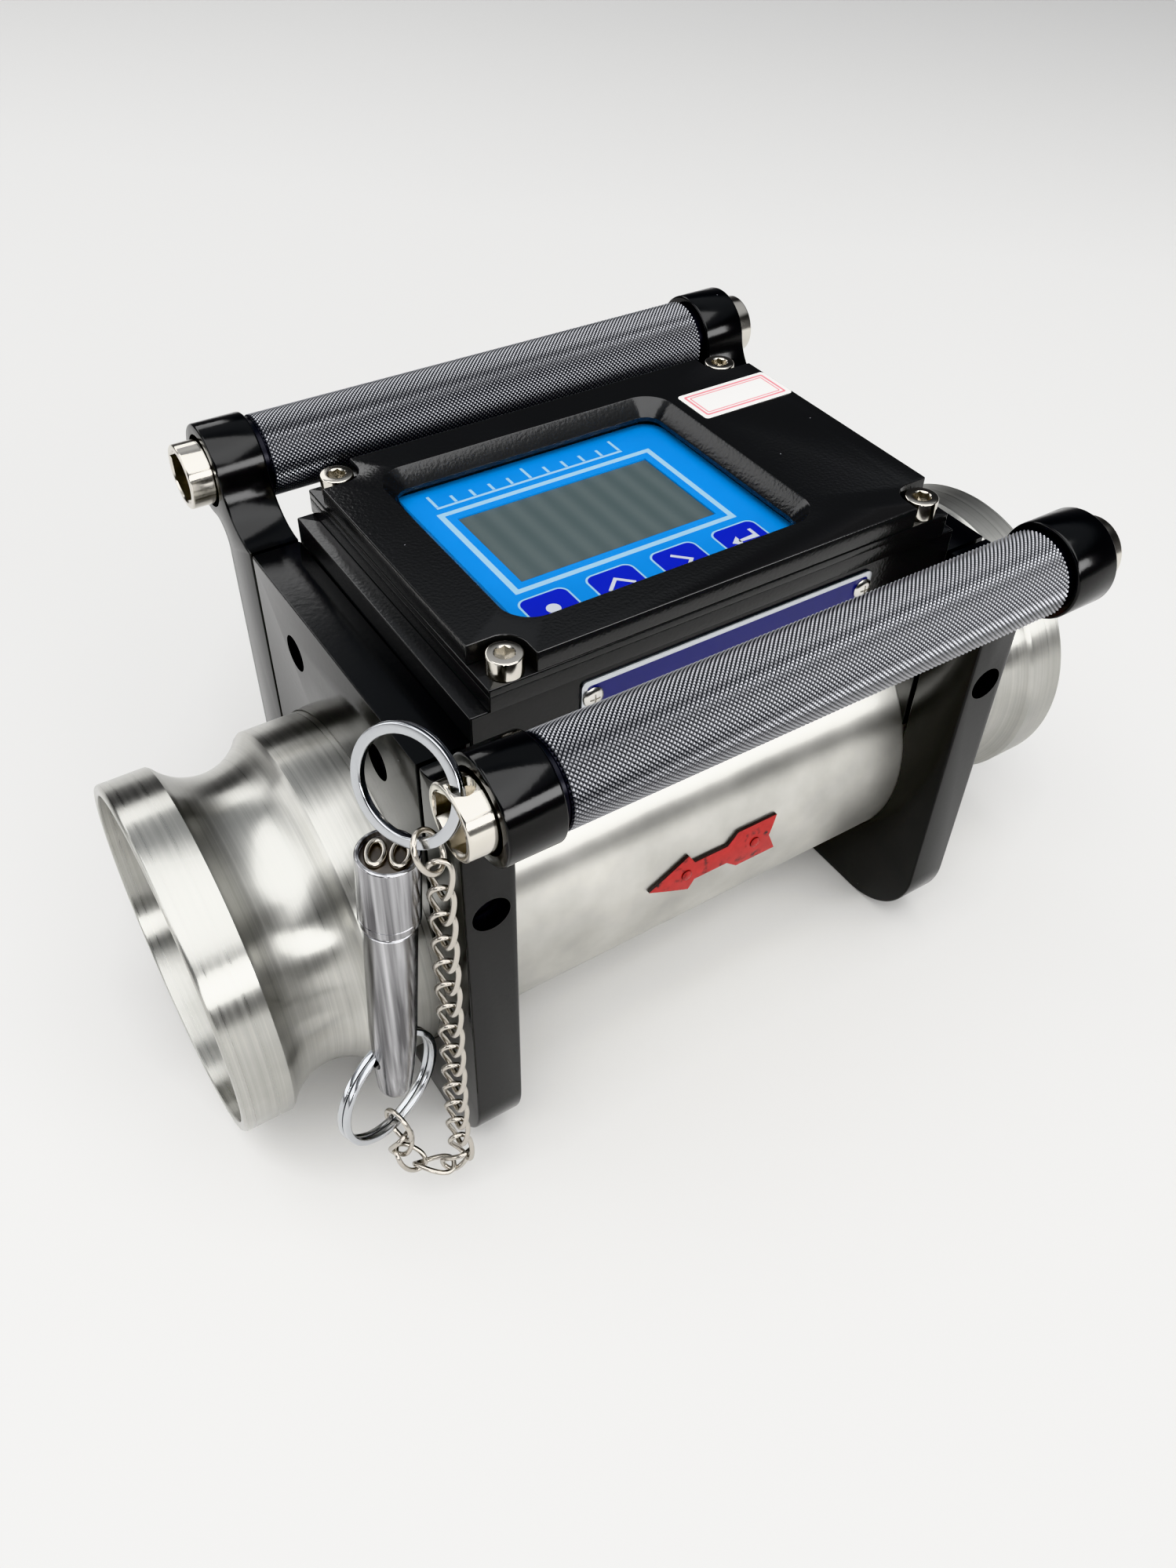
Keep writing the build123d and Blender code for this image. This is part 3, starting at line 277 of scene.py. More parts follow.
# %% [markdown]
# ## Plastics, print, rubber and glass
# The panel is a printed film behind a glass window, the display a grey-green liquid crystal
# cell in which the unlit digits show as faint darker bands. Inside, a green board, a sleeved
# cell and moulded holders are seen only when the lid is off. The arrow's red enamel has flaked,
# and its walls, which face away from the tube's axis the least, are dark.


# %% Finishes of the plastics and prints
def moulded(name, colour, roughness, grain_mm, shift=0.12):
    """Plastic, film or rubber: its colour wanders a little, and it has a fine grain."""
    material, tree, shader = new_finish(name, Roughness=roughness)
    grain = noise(tree, object_place(tree), 1000 / grain_mm, 3.0)
    base = np.array(linear(colour)[:3])
    dark, light = ((*np.minimum(base * way, 1).tolist(), 1.0) for way in (1 - shift, 1 + shift))
    feed(tree, shader, Base_Color=blend(tree, grain, dark, light))
    relief(tree, shader, grain, 0.15, 0.01 * MM)
    return material


panel_film = moulded("printed_film_azure", "#0098F8", 0.3, 12.0, 0.06)
pale_ink = moulded("screen_ink_pale_blue", "#B4E2FF", 0.4, 5.0, 0.04)
key_ink = moulded("screen_ink_deep_blue", "#0A1FD2", 0.35, 6.0, 0.05)
sign_ink = moulded("screen_ink_white", "#E6ECF6", 0.4, 5.0, 0.03)
gasket_rubber = moulded("nitrile_rubber", "#171717", 0.7, 0.6)
black_abs = moulded("black_abs_plastic", "#1A1A1B", 0.45, 0.5)
cell_sleeve = moulded("pvc_cell_sleeve", "#CFCFC8", 0.3, 8.0)
board_green = moulded("solder_mask_green", "#0E5A2C", 0.28, 2.0, 0.2)
arrow_paint = moulded("red_enamel", "#9A1E1B", 0.26, 2.2, 0.3)
tree = arrow_paint.node_tree
shader = tree.nodes["Principled BSDF"]
red = shader.inputs["Base Color"].links[0].from_socket
place = object_place(tree)
tube_z, flakes_per_metre = 53.75, 260.0
from_axis = vector(tree, "SUBTRACT", place, (0, 0, tube_z * MM))
spoke = vector(tree, "MULTIPLY", from_axis.outputs[0], (0, 1, 1))
outward = vector(tree, "NORMALIZE", spoke.outputs[0])
normal = add_node(tree, "ShaderNodeNewGeometry").outputs["Normal"]
facing = vector(tree, "DOT_PRODUCT", outward.outputs[0], normal)
flake = spread(tree, noise(tree, place, flakes_per_metre, 5.0), low=0.56, high=0.68)
top = spread(tree, facing.outputs["Value"], low=0.80, high=0.96)
dark = reckon(tree, "MAXIMUM", reckon(tree, "SUBTRACT", 1.0, top), flake)
feed(tree, shader, Base_Color=blend(tree, dark, red, "#1C0E0D"))
sticker_paper = moulded("gloss_paper_label", "#F4F2EF", 0.35, 4.0, 0.02)
pink_ink = moulded("label_ink_pink", "#E88792", 0.4, 3.0, 0.05)
plate_blue = moulded("enamelled_blue_field", "#15196C", 0.3, 4.0, 0.1)
plate_silver = bright_metal("satin_aluminium_plate", "#C3C6CA", 0.3, 0.5)
print("display and print finishes made")

# %% Finishes of the display and the window
display_film, tree, shader = new_finish("liquid_crystal_film", Roughness=0.25)
band_mm = 6.0
across = parts(tree, object_place(tree))["X"]
ripple = reckon(tree, "SINE", reckon(tree, "MULTIPLY", across, 2 * math.pi / (band_mm * MM)))
shade = spread(tree, ripple, low=-1.0)
feed(tree, shader, Base_Color=blend(tree, shade, "#5F6B6C", "#6A7575"))

window_clear, tree, shader = new_finish(
    "clear_window_glass", Base_Color=linear("#20262A"), IOR=1.52, Specular_IOR_Level=1.0,
    Alpha=0.13)
haze = noise(tree, object_place(tree), 60.0)
feed(tree, shader, Roughness=spread(tree, haze, 0.02, 0.10))
print("window lets through", round(1 - shader.inputs["Alpha"].default_value, 2), "at each face")

# %% [markdown]
# ## Meshes from arrays
# Three ways of shaping cover this object. A lathe turns a profile round an axis, a prism
# carries an outline from one end to the other and rounds its rims, and a swept wire carries a
# small section along a path. All three fill whole arrays of points at once.


# %% Mesh helpers
def unit(vector):
    """The vector divided by its length."""
    vector = np.asarray(vector, float)
    return vector / np.linalg.norm(vector, axis=-1, keepdims=True)


def quads(rows, cols, wrap_rows, wrap_cols):
    """Faces of a grid: each joins a point to its right, upper and diagonal neighbours."""
    r, c = np.meshgrid(np.arange(rows - (not wrap_rows)), np.arange(cols - (not wrap_cols)),
                       indexing="ij")
    r2, c2 = (r + 1) % rows, (c + 1) % cols
    return np.stack([r * cols + c, r * cols + c2, r2 * cols + c2, r2 * cols + c], -1).reshape(-1, 4)


def piece(name, shapes, material, body=None, stands_for=(), sharp=35):
    """One object from (points in mm, faces) pairs, merged, facing outwards and smooth shaded."""
    points, faces, start = [], [], 0
    for shape_points, shape_faces in shapes:
        points.append(np.asarray(shape_points).reshape(-1, 3))
        faces += [[int(i) + start for i in face] for face in shape_faces]
        start += len(points[-1])
    mesh = bpy.data.meshes.new(name)
    mesh.from_pydata((np.concatenate(points) * MM).tolist(), [], faces)
    work = bmesh.new()
    work.from_mesh(mesh)
    bmesh.ops.remove_doubles(work, verts=work.verts, dist=1e-6)
    bmesh.ops.recalc_face_normals(work, faces=work.faces)
    work.to_mesh(mesh)
    work.free()
    mesh.shade_smooth()
    mesh.set_sharp_from_angle(angle=math.radians(sharp))
    mesh.materials.append(material)
    thing = bpy.data.objects.new(name, mesh)
    scene.collection.objects.link(thing)
    if body:
        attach(thing, body)
        if stands_for:
            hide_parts(*stands_for)
        print(name, len(mesh.polygons), "faces")
    return thing


def lathe(profile, start, axis, turns=160, closed=False):
    """Point = start + along * axis + radius * (cos t * side + sin t * up), t all the way round."""
    axis = unit(axis)
    side = unit(np.cross(axis, (0.31, 0.17, 0.94) if abs(axis[2]) < 0.9 else (1, 0, 0)))
    up = np.cross(axis, side)
    t = np.linspace(0, 2 * math.pi, turns, endpoint=False)[None, :, None]
    p = np.asarray(profile, float)[:, None, :]
    spokes = np.cos(t) * side + np.sin(t) * up
    points = np.asarray(start) + p[..., :1] * axis + p[..., 1:] * spokes
    return points, quads(len(profile), turns, closed, True)


def rounded(corners, radius, steps=6):
    """A closed outline whose corners become arcs: each arc turns between the two points that
    lie radius / tan(half the corner) from the corner."""
    corners = np.asarray(corners, float)
    radii = np.broadcast_to(radius, len(corners))
    out = []
    for k, corner in enumerate(corners):
        a, b = unit(corners[k - 1] - corner), unit(corners[(k + 1) % len(corners)] - corner)
        half = math.acos(np.clip(a @ b, -1, 1)) / 2
        if radii[k] <= 0 or half > 1.55:
            out.append(corner[None])
            continue
        centre = corner + unit(a + b) * radii[k] / math.sin(half)
        v0 = corner + a * radii[k] / math.tan(half) - centre
        v1 = corner + b * radii[k] / math.tan(half) - centre
        sweep = math.pi - 2 * half
        s = np.linspace(0, 1, steps + 1)[:, None]
        turned = np.sin((1 - s) * sweep) * v0 + np.sin(s * sweep) * v1
        out.append(centre + turned / math.sin(sweep))
    return np.concatenate(out)


def arc(centre, radius, start, end, steps):
    """Points on a circle from one angle to another, in degrees."""
    t = np.radians(np.linspace(start, end, steps + 1))[:, None]
    return np.asarray(centre, float) + radius * np.concatenate([np.cos(t), np.sin(t)], 1)


def box_outline(x0, x1, y0, y1, radius=0.0, steps=8):
    """A rectangle with rounded corners."""
    return rounded([(x0, y0), (x1, y0), (x1, y1), (x0, y1)], radius, steps)


def inset(outline, distance):
    """The outline drawn in by that distance: each point moves along the mean of its two sides'
    inward normals, divided by one plus their product, which keeps the sides parallel."""
    ahead = unit(np.roll(outline, -1, 0) - outline)
    inward = np.stack([-ahead[:, 1], ahead[:, 0]], 1)
    before = np.roll(inward, 1, 0)
    share = 1 + np.sum(inward * before, 1, keepdims=True)
    return outline + distance * (inward + before) / np.maximum(share, 0.3)


def tidy(outline):
    """The outline without doubled points, running anticlockwise."""
    outline = outline[np.linalg.norm(outline - np.roll(outline, 1, 0), axis=1) > 1e-4]
    nxt = np.roll(outline, -1, 0)
    area = np.sum(outline[:, 0] * nxt[:, 1] - nxt[:, 0] * outline[:, 1])
    return outline if area > 0 else outline[::-1]


def cap(rings):
    """Triangles between an outline and its holes: a triangle stays where a line from its middle
    crosses the outlines an odd number of times."""
    points = np.concatenate(rings)
    edges, start = [], 0
    for ring in rings:
        edges += [(start + k, start + (k + 1) % len(ring)) for k in range(len(ring))]
        start += len(ring)
    flat_points = [Vector(p) for p in points.tolist()]
    corners, _, tris, _, _, _ = delaunay_2d_cdt(flat_points, edges, [], 0, 1e-7)
    corners = np.array([tuple(corner) for corner in corners])
    nearest = np.argmin(np.linalg.norm(corners[:, None] - points[None], axis=2), 1)
    tris = nearest[np.array(tris)]
    middle = points[tris].mean(1)
    inside = np.zeros(len(tris), bool)
    for ring in rings:
        a, b = ring, np.roll(ring, -1, 0)
        over = (a[:, 1] > middle[:, 1:]) != (b[:, 1] > middle[:, 1:])
        rise = np.where(b[:, 1] == a[:, 1], 1e-12, b[:, 1] - a[:, 1])
        cross = a[:, 0] + (middle[:, 1:] - a[:, 1]) * (b[:, 0] - a[:, 0]) / rise
        inside ^= np.sum(over & (middle[:, :1] < cross), 1) % 2 == 1
    return tris[inside]


def prism(outline, place, low, high, edge=0.0, holes=(), hole_edge=0.0, steps=3, bevel=None,
          bottom=0.0):
    """The outline carried from low to high. Near each end it draws in along a quarter circle,
    edge * (1 - sin a) at edge * (1 - cos a) from the end, and holes open out in the same way.
    A bevel lists (depth under the high end, how far the hole opens there), from the top down,
    and bottom is how far it opens at the low end."""
    points, faces, start = [], [], 0
    ends = ([], [])
    for loop, rim, sign in [(tidy(outline), edge, 1)] + [(tidy(h), hole_edge, -1) for h in holes]:
        a = np.linspace(0, math.pi / 2, steps + 1) if rim else np.array([math.pi / 2])
        rise, draw = rim * (1 - np.cos(a)), rim * (1 - np.sin(a))
        heights = np.concatenate([low + rise, high - rise[::-1]])
        draws = np.concatenate([draw, draw[::-1]])
        if sign < 0 and bevel:
            heights = np.array([low] + [high - depth for depth, _ in bevel[::-1]])
            draws = np.array([bottom] + [widen for _, widen in bevel[::-1]])
        rings = np.stack([inset(loop, sign * d) for d in draws])
        carried = np.broadcast_to(heights[:, None], rings.shape[:2])
        grid = place(rings[..., 0], rings[..., 1], carried)
        points.append(grid.reshape(-1, 3))
        faces += (quads(len(heights), len(loop), False, True) + start).tolist()
        last = start + (len(heights) - 1) * len(loop)
        ends[0].append((rings[0], np.arange(start, start + len(loop))))
        ends[1].append((rings[-1], np.arange(last, last + len(loop))))
        start += grid.shape[0] * grid.shape[1]
    for loops in ends:
        numbers = np.concatenate([index for _, index in loops])
        faces += numbers[cap([ring for ring, _ in loops])].tolist()
    return np.concatenate(points), faces


def swept(path, normal, section, closed=True):
    """A section carried along a path: point = path + u * outward + v * binormal, where outward
    is the given direction made square to the path."""
    path = np.asarray(path, float)
    if closed:
        tangent = unit(np.roll(path, -1, 0) - np.roll(path, 1, 0))
    else:
        tangent = unit(np.gradient(path, axis=0))
    outward = np.asarray(normal, float)
    outward = unit(outward - np.sum(outward * tangent, 1, keepdims=True) * tangent)
    binormal = np.cross(tangent, outward)
    s = np.asarray(section, float)
    points = path[:, None] + s[None, :, :1] * outward[:, None] + s[None, :, 1:] * binormal[:, None]
    faces = quads(len(path), len(s), closed, True).tolist()
    if not closed:
        faces += [list(range(len(s))), list(range((len(path) - 1) * len(s), len(path) * len(s)))]
    return points, faces


def cut(thing, *cutters):
    """Takes the cutters out of a piece with an exact boolean and deletes them."""
    for cutter in cutters:
        hole = thing.modifiers.new("hole", "BOOLEAN")
        hole.object, hole.operation, hole.solver = cutter, "DIFFERENCE", "EXACT"
    graph = bpy.context.evaluated_depsgraph_get()
    mesh = bpy.data.meshes.new_from_object(thing.evaluated_get(graph))
    thing.modifiers.clear()
    thing.data = mesh
    mesh.shade_smooth()
    mesh.set_sharp_from_angle(angle=math.radians(35))
    for cutter in cutters:
        bpy.data.objects.remove(cutter)
    return thing


def copies(source, seats):
    """The source's mesh, which points up from the origin, set on each (point in mm, axis)."""
    shapes = []
    corners = np.array([v.co for v in source.data.vertices]) / MM
    faces = [list(p.vertices) for p in source.data.polygons]
    for seat, axis in seats:
        turn = np.array(Vector((0, 0, 1)).rotation_difference(Vector(axis)).to_matrix())
        shapes.append((corners @ turn.T + np.asarray(seat), faces))
    bpy.data.objects.remove(source)
    return shapes


def flat(u, v, w):
    """Outlines in X and Y, carried up in Z."""
    return np.stack([u, v, w], -1)


print("helpers ready")

# %% [markdown]
# ## Flow tube
# One turned profile: a lip, the round groove that the hose coupler's cams bite into, a straight
# body, and the bore with a ring groove and a narrower throat. Turning a fine profile through
# many steps gives the round reflections that make it read as metal.

# %% Turn the flow tube
tube_radius, tube_half, bore = 45.75, 131.2, 36.5
groove_x, groove_r, groove_half = 106.6, 14.2, 11.9
groove_centre = tube_radius + math.sqrt(groove_r**2 - groove_half**2)
swing = math.degrees(math.asin(groove_half / groove_r))
groove = arc((groove_x, groove_centre), groove_r, -90 - swing, -90 + swing, 40)
half = np.concatenate([
    [(0, tube_radius), (94.3, tube_radius)], groove[1:-1], [(118.9, tube_radius)],
    arc((tube_half - 1.0, tube_radius - 1.0), 1.0, 90, 0, 5),
    arc((tube_half - 0.5, 43.5), 0.5, 0, -90, 3), [(124.6, 43.0)],
    arc((124.6, 42.0), 1.0, 90, 180, 4),
    [(123.6, 38.2), (122.6, bore), (121.0, bore), (121.0, 37.7),
     (119.4, 37.7), (119.4, bore), (16.0, bore), (16.0, 35.9), (0, 35.9)],
])
profile = np.concatenate([half, half[::-1][1:] * (-1, 1)])
piece("tube_turned", [lathe(profile, (0, 0, tube_z), (1, 0, 0), 256, closed=True)], turned_steel,
      "root", ["flow_tube"], sharp=28)

# %% [markdown]
# ## End plates
# Each plate is a yoke cut from thick bar, with feet, legs and two ears, and a separate block
# clamped between its legs above the tube. The outline is drawn once from arcs and straight
# runs, then carried through the thickness with its rims broken, and the screw holes are cut.


# %% Cut the yokes and the clamp blocks
plate_x, plate_thick, plate_wide, plate_top = 66.7, 12.6, 60.0, 128.1
boss, ear_round, leg_round, foot = 11.5, 14.0, 6.0, 22.0
ear_y = handle_y - math.sqrt((ear_round + boss) ** 2 - (plate_top + ear_round - handle_z) ** 2)
leg_top = handle_z - math.sqrt((leg_round + boss) ** 2 - (handle_y - plate_wide - leg_round) ** 2)
ear_lean = math.degrees(math.atan2(plate_top + ear_round - handle_z, ear_y - handle_y))
leg_lean = math.degrees(math.atan2(handle_z - leg_top, handle_y - plate_wide - leg_round))
seat = tube_radius + 0.05
slot_angle = math.degrees(math.acos(ear_y / seat))
half = np.concatenate([
    arc((plate_wide - foot, foot), foot, -90, 0, 24),
    arc((plate_wide + leg_round, leg_top), leg_round, 180, leg_lean, 10),
    arc((handle_y, handle_z), boss, leg_lean - 180, ear_lean, 48),
    arc((ear_y, plate_top + ear_round), ear_round, ear_lean - 180, -90, 16),
    arc((0, tube_z), seat, slot_angle, -90, 60),
])
yoke_outline = np.concatenate([half, half[::-1] * (-1, 1)])
block_gap = 1.2
block_y = ear_y - block_gap
block_angle = math.degrees(math.acos(block_y / seat))
block_outline = np.concatenate([
    [(-block_y, plate_top), (block_y, plate_top)][::-1],
    arc((0, tube_z), seat, 180 - block_angle, block_angle, 60),
])


counterbore, counterbore_deep, well = 9.0, 4.0, 4.6
clamp_z, clamp_deep, block_screw_y, block_screw_z, block_deep = 95.5, 10.0, 22.0, 112.5, 7.5


def upright(end):
    """Outlines in Y and Z, carried outwards along X from a plate's inner face."""
    return lambda u, v, w: np.stack([end * (plate_x + w), u, v], -1)


def drill(radius, start, axis, depth):
    """A cylinder to cut with, which starts a little above the surface."""
    profile = [(-0.5, 0), (-0.5, radius), (depth, radius), (depth, 0)]
    return piece("drill", [lathe(profile, start, axis, 48)], plate_paint)


for end, name in ((-1, "left"), (1, "right")):
    outer_x, middle_x = end * (plate_x + plate_thick), end * (plate_x + plate_thick / 2)
    yoke = piece("yoke_" + name, [prism(yoke_outline, upright(end), 0, plate_thick, 0.55)],
                 plate_paint, "root", ["end_plate_" + name])
    cut(yoke,
        *[drill(counterbore, (outer_x, s * handle_y, handle_z), (-end, 0, 0), counterbore_deep)
          for s in (-1, 1)],
        *[drill(well, (middle_x, s * plate_wide, clamp_z), (0, -s, 0), clamp_deep)
          for s in (-1, 1)])
    block = piece("block_" + name, [prism(block_outline, upright(end), 0, plate_thick, 0.45)],
                  plate_paint, "root", ["clamp_block_" + name])
    cut(block, *[drill(well, (outer_x, s * block_screw_y, block_screw_z), (-end, 0, 0), block_deep)
                 for s in (-1, 1)])

# %% [markdown]
# ## Handles
# Each grip is a bar with a short plain neck at both ends, turned and then knurled. The small
# pyramids are part of the mesh, with two rows and two columns to each, so that they catch the
# light as facets and show along the edge of the bar.

# %% Turn and knurl the two grips
def knurled_bar(start):
    """A turned bar with two columns to a pyramid. Where row and column add up to an even number
    the point is pressed in by the depth, and each square is split from low point to low point."""
    knurl_half, neck, neck_end = 64.8, 65.2, plate_x
    rows = 2 * round(knurl_half / knurl_pitch)
    ends = [(neck_end, 0), (neck_end, 9.5), (neck, 9.5), (neck, 9.8)]
    along = np.linspace(-knurl_half, knurl_half, 2 * rows + 1)
    profile = [(-x, r) for x, r in ends] + [(x, grip_radius) for x in along] + ends[::-1]
    points, faces = lathe(profile, start, (1, 0, 0), 2 * knurl_count)
    row, column = np.indices(points.shape[:2])
    low = (row >= len(ends)) & (row < len(profile) - len(ends)) & ((row + column) % 2 == 0)
    spoke = unit((points - start) * (0, 1, 1) + (0, 1e-9, 0))
    points = points - np.where(low[..., None], knurl_depth * spoke, 0)
    a, b, c, d = faces.T
    even = ((row + column) % 2 == 0).reshape(-1)[a][:, None]
    first = np.where(even, np.stack([a, b, c], 1), np.stack([a, b, d], 1))
    second = np.where(even, np.stack([a, c, d], 1), np.stack([b, c, d], 1))
    return points, np.concatenate([first, second])


for side, name in ((-1, "front"), (1, "rear")):
    piece("grip_" + name, [knurled_bar(np.array((0, side * handle_y, handle_z)))],
          knurled_steel, "root", ["handle_" + name], sharp=20)

# %% [markdown]
# ## Bolts and socket screws
# A socket head cap screw is turned, chamfered, and then its hexagon is broached. One screw is
# made at the origin and copied to every seat. The front left bolt is drilled through the wall
# of its head, where the key ring passes.


# %% Make the socket screws
def socket_screw(head_radius, head_height, shank_radius, reach, flats, depth, edge):
    """A turned screw that points up from its seat, with a six-sided hole in the head. The
    hexagon's corners lie flats / root of 3 from the middle."""
    crown = arc((head_height - edge, head_radius - edge), edge, 90, 0, 4)
    profile = np.concatenate([
        [(-reach, 0), (-reach, shank_radius), (0, shank_radius), (0, head_radius - 0.2),
         (0.2, head_radius)], crown, [(head_height, 0)],
    ])
    screw = piece("screw", [lathe(profile, (0, 0, 0), (0, 0, 1), 72)], nickel)
    corner = flats / math.sqrt(3)
    hexagon = arc((0, 0), corner, 0, 360, 6)[:-1]
    broach = piece("broach", [prism(hexagon, flat, head_height - depth, head_height + 1)], nickel)
    lead = [(head_height - 0.35, 0), (head_height - 0.35, corner - 0.35),
            (head_height + 0.3, corner + 0.3), (head_height + 0.3, 0)]
    countersink = piece("countersink", [lathe(lead, (0, 0, 0), (0, 0, 1), 72)], nickel)
    return cut(screw, broach, countersink)


outer, pocket_floor, bolt_head = plate_x + plate_thick, 140.6, 10.0
bolt_seat = outer - counterbore_deep
handle_bolt = (8.0, bolt_head, 5.0, bolt_seat - plate_x, 11.4, 6.6, 0.5)
lid_screw, plate_screw = (4.0, 4.6, 2.0, 6.0, 4.0, 2.5, 0.4), (4.25, 5.0, 2.5, 6.0, 4.0, 2.5, 0.5)
big = copies(socket_screw(*handle_bolt), [
    ((-bolt_seat, handle_y, handle_z), (-1, 0, 0)),
    ((bolt_seat, -handle_y, handle_z), (1, 0, 0)),
    ((bolt_seat, handle_y, handle_z), (1, 0, 0)),
])
piece("bolts_nickel", big, nickel, "root", ["handle_bolts"])
drilled = copies(socket_screw(*handle_bolt), [((-bolt_seat, -handle_y, handle_z), (-1, 0, 0))])
drilled = piece("bolt_with_cross_hole", drilled, nickel, "root",
                ["handle_bolt_drilled"])
hole_radius, wall = 2.5, 0.6
hole_x = -(bolt_seat + bolt_head) + wall + hole_radius
cut(drilled, drill(hole_radius, (hole_x, -handle_y, handle_z + 10.0), (0, 0, -1), 9.5))
corners = [(x, y) for x in (-1, 1) for y in (-1, 1)]
lid_seats = [((x * 56.5, y * 39.4, pocket_floor), (0, 0, 1)) for x, y in corners]
side_seats = [((x * (plate_x + plate_thick / 2), y * (plate_wide - clamp_deep), clamp_z), (0, y, 0))
              for x, y in corners]
end_seats = [((x * (outer - block_deep), y * block_screw_y, block_screw_z), (x, 0, 0))
             for x, y in corners]
for name, screw, seats, metal, node in (
    ("lid_screws_bright", lid_screw, lid_seats, nickel, "lid_screws"),
    ("clamp_screws_dark", plate_screw, side_seats, black_oxide, "plate_clamp_screws"),
    ("housing_screws_dark", plate_screw, end_seats, black_oxide, "plate_housing_screws"),
):
    piece(name, copies(socket_screw(*screw), seats), metal, "root", [node])

# %% [markdown]
# ## Lid, window and housing
# The lid is milled from plate: a rectangle with a pocket at each corner for the screw heads and
# a window with a soft lip. The full rectangle runs up to the floor of the pockets, and above
# that the outline steps round them. The housing below is an open box.

# %% Mill the lid
lid_x, lid_y, lid_low, lid_top = 62.5, 43.4, 134.6, 145.7
opening = box_outline(-48.6, 29.6, -32.1, 32.1, 6.0, 12)
px, py, corner_r = lid_x - 11.2, lid_y - 9.2, 5.2
notched = rounded(
    [(px, -lid_y), (px, -py), (lid_x, -py), (lid_x, py), (px, py), (px, lid_y),
     (-px, lid_y), (-px, py), (-lid_x, py), (-lid_x, -py), (-px, -py), (-px, -lid_y)],
    [0.3, corner_r, 0.3] * 4, 10)
lid_outline = box_outline(-lid_x, lid_x, -lid_y, lid_y, 0.4, 3)
pane, pane_low = box_outline(-51.0, 32.0, -34.0, 34.0, 8.0), 138.85
below = prism(lid_outline, flat, lid_low, pane_low, 0.25, [opening])
beside = prism(lid_outline, flat, pane_low - 0.3, pocket_floor, 0.25, [inset(pane, -0.1)])
window_bevel = [(0.0, 1.7), (0.2, 1.45), (3.8, -1.55), (4.1, -1.75)]
upper = prism(notched, flat, pocket_floor, lid_top, 0.35, [opening], bevel=window_bevel,
              bottom=-1.8)
piece("lid_milled", [below, beside, upper], lid_paint, "root", ["lid"],
      sharp=30)

# %% Mill the housing
house_x, house_y, house_low, house_top = 66.65, 42.75, 101.5, 134.55
house = box_outline(-house_x, house_x, -house_y, house_y, 0.4, 3)
walls = prism(house, flat, house_low + 4.0, house_top, 0.35,
              [box_outline(-59.0, 59.0, -34.4, 34.4, 6.0)])
floor = prism(house, flat, house_low, house_low + 4.2, 0.35, [arc((0, 0), 7.0, 0, 360, 48)[:-1]])
neck = lathe([(0, 7.0), (0, 17.0), (-7.5, 17.0), (-7.5, 7.0)], (0, 0, house_low), (0, 0, 1), 72,
             closed=True)
piece("housing_milled", [walls, floor, neck], lid_paint, "root",
      ["meter_housing"])

# %% Lay the glass
piece("window_pane", [prism(pane, flat, pane_low, pocket_floor, 0.1)], window_clear, "root",
      ["window_glass"])

# %% [markdown]
# ## Print on the panel
# The panel's fields are flat shapes laid a few hundredths of a millimetre over the film, as
# ink is. A pale frame runs round the display, a plain scale of ticks stands in the header, and
# four deep blue keys carry plain signs: a dot, an upward and a sideways arrow, and a return.


# %% Print the panel
def ink(name, outlines, height, material, holes=()):
    """Flat fields of ink, each a thin slab, with the holes cut from the first of them."""
    shapes = [prism(outline, flat, height, height + 0.02, 0, holes if k == 0 else ())
              for k, outline in enumerate(outlines)]
    return piece(name, shapes, material, "root")


film_top = 138.7
ink("display_frame_print", [box_outline(-40.4, 20.4, -16.3, 20.6)], film_top, pale_ink,
    holes=[box_outline(-38.9, 18.9, -14.8, 19.1)])
ticks = [box_outline(-39.0 + 5.2 * k, -38.2 + 5.2 * k, 23.6, 28.8 if k % 5 == 0 else 26.6)
         for k in range(11)]
ink("header_scale_print", [box_outline(-39.0, 13.8, 22.6, 23.4)] + ticks, film_top, pale_ink)
key_x = [-35.9 + 17.4 * k for k in range(4)]
key_y = -24.9
for name, half, radius, raised, shade in (("key_outline_print", 6.4, 2.4, 0, pale_ink),
                                          ("key_field_print", 5.9, 2.0, 0.03, key_ink)):
    ink(name, [box_outline(x - half, x + half, key_y - half, key_y + half, radius) for x in key_x],
        film_top + raised, shade)


def stroke(points, width):
    """A line of that width through the points: both sides are the path moved by half of it,
    and at a bend by half of it over the cosine of half the turn."""
    points = np.asarray(points, float)
    ahead = unit(np.gradient(points, axis=0))
    across = np.stack([-ahead[:, 1], ahead[:, 0]], 1)
    turn = unit(points[1:] - points[:-1])
    grow = np.ones((len(points), 1))
    if len(points) > 2:
        grow[1:-1, 0] = 1 / np.maximum(np.abs(np.sum(ahead[1:-1] * turn[:-1], 1)), 0.5)
    half = across * grow * width / 2
    return np.concatenate([points + half, (points - half)[::-1]])


line = 0.9
signs = [
    arc((key_x[0], key_y + 0.2), 1.7, 0, 360, 32)[:-1],
    stroke(np.array([(-3.4, -0.9), (0, 2.4), (3.4, -0.9)]) + (key_x[1], key_y), line),
    stroke(np.array([(-1.6, 3.4), (1.9, 0), (-1.6, -3.4)]) + (key_x[2], key_y), line),
    stroke(np.array([(3.2, 3.0), (3.2, 0), (-1.8, 0)]) + (key_x[3], key_y), line),
    np.array([(-3.8, 0), (-1.4, -2.0), (-1.4, 2.0)]) + (key_x[3], key_y),
]
ink("key_sign_print", signs, film_top + 0.06, sign_ink)

# %% [markdown]
# ## Nameplate, sticker and arrow
# The nameplate is an aluminium plate with an enamelled field, left bare inside its border. The
# sticker has a double pink frame. The arrow is riveted to the tube and gives the flow's way.

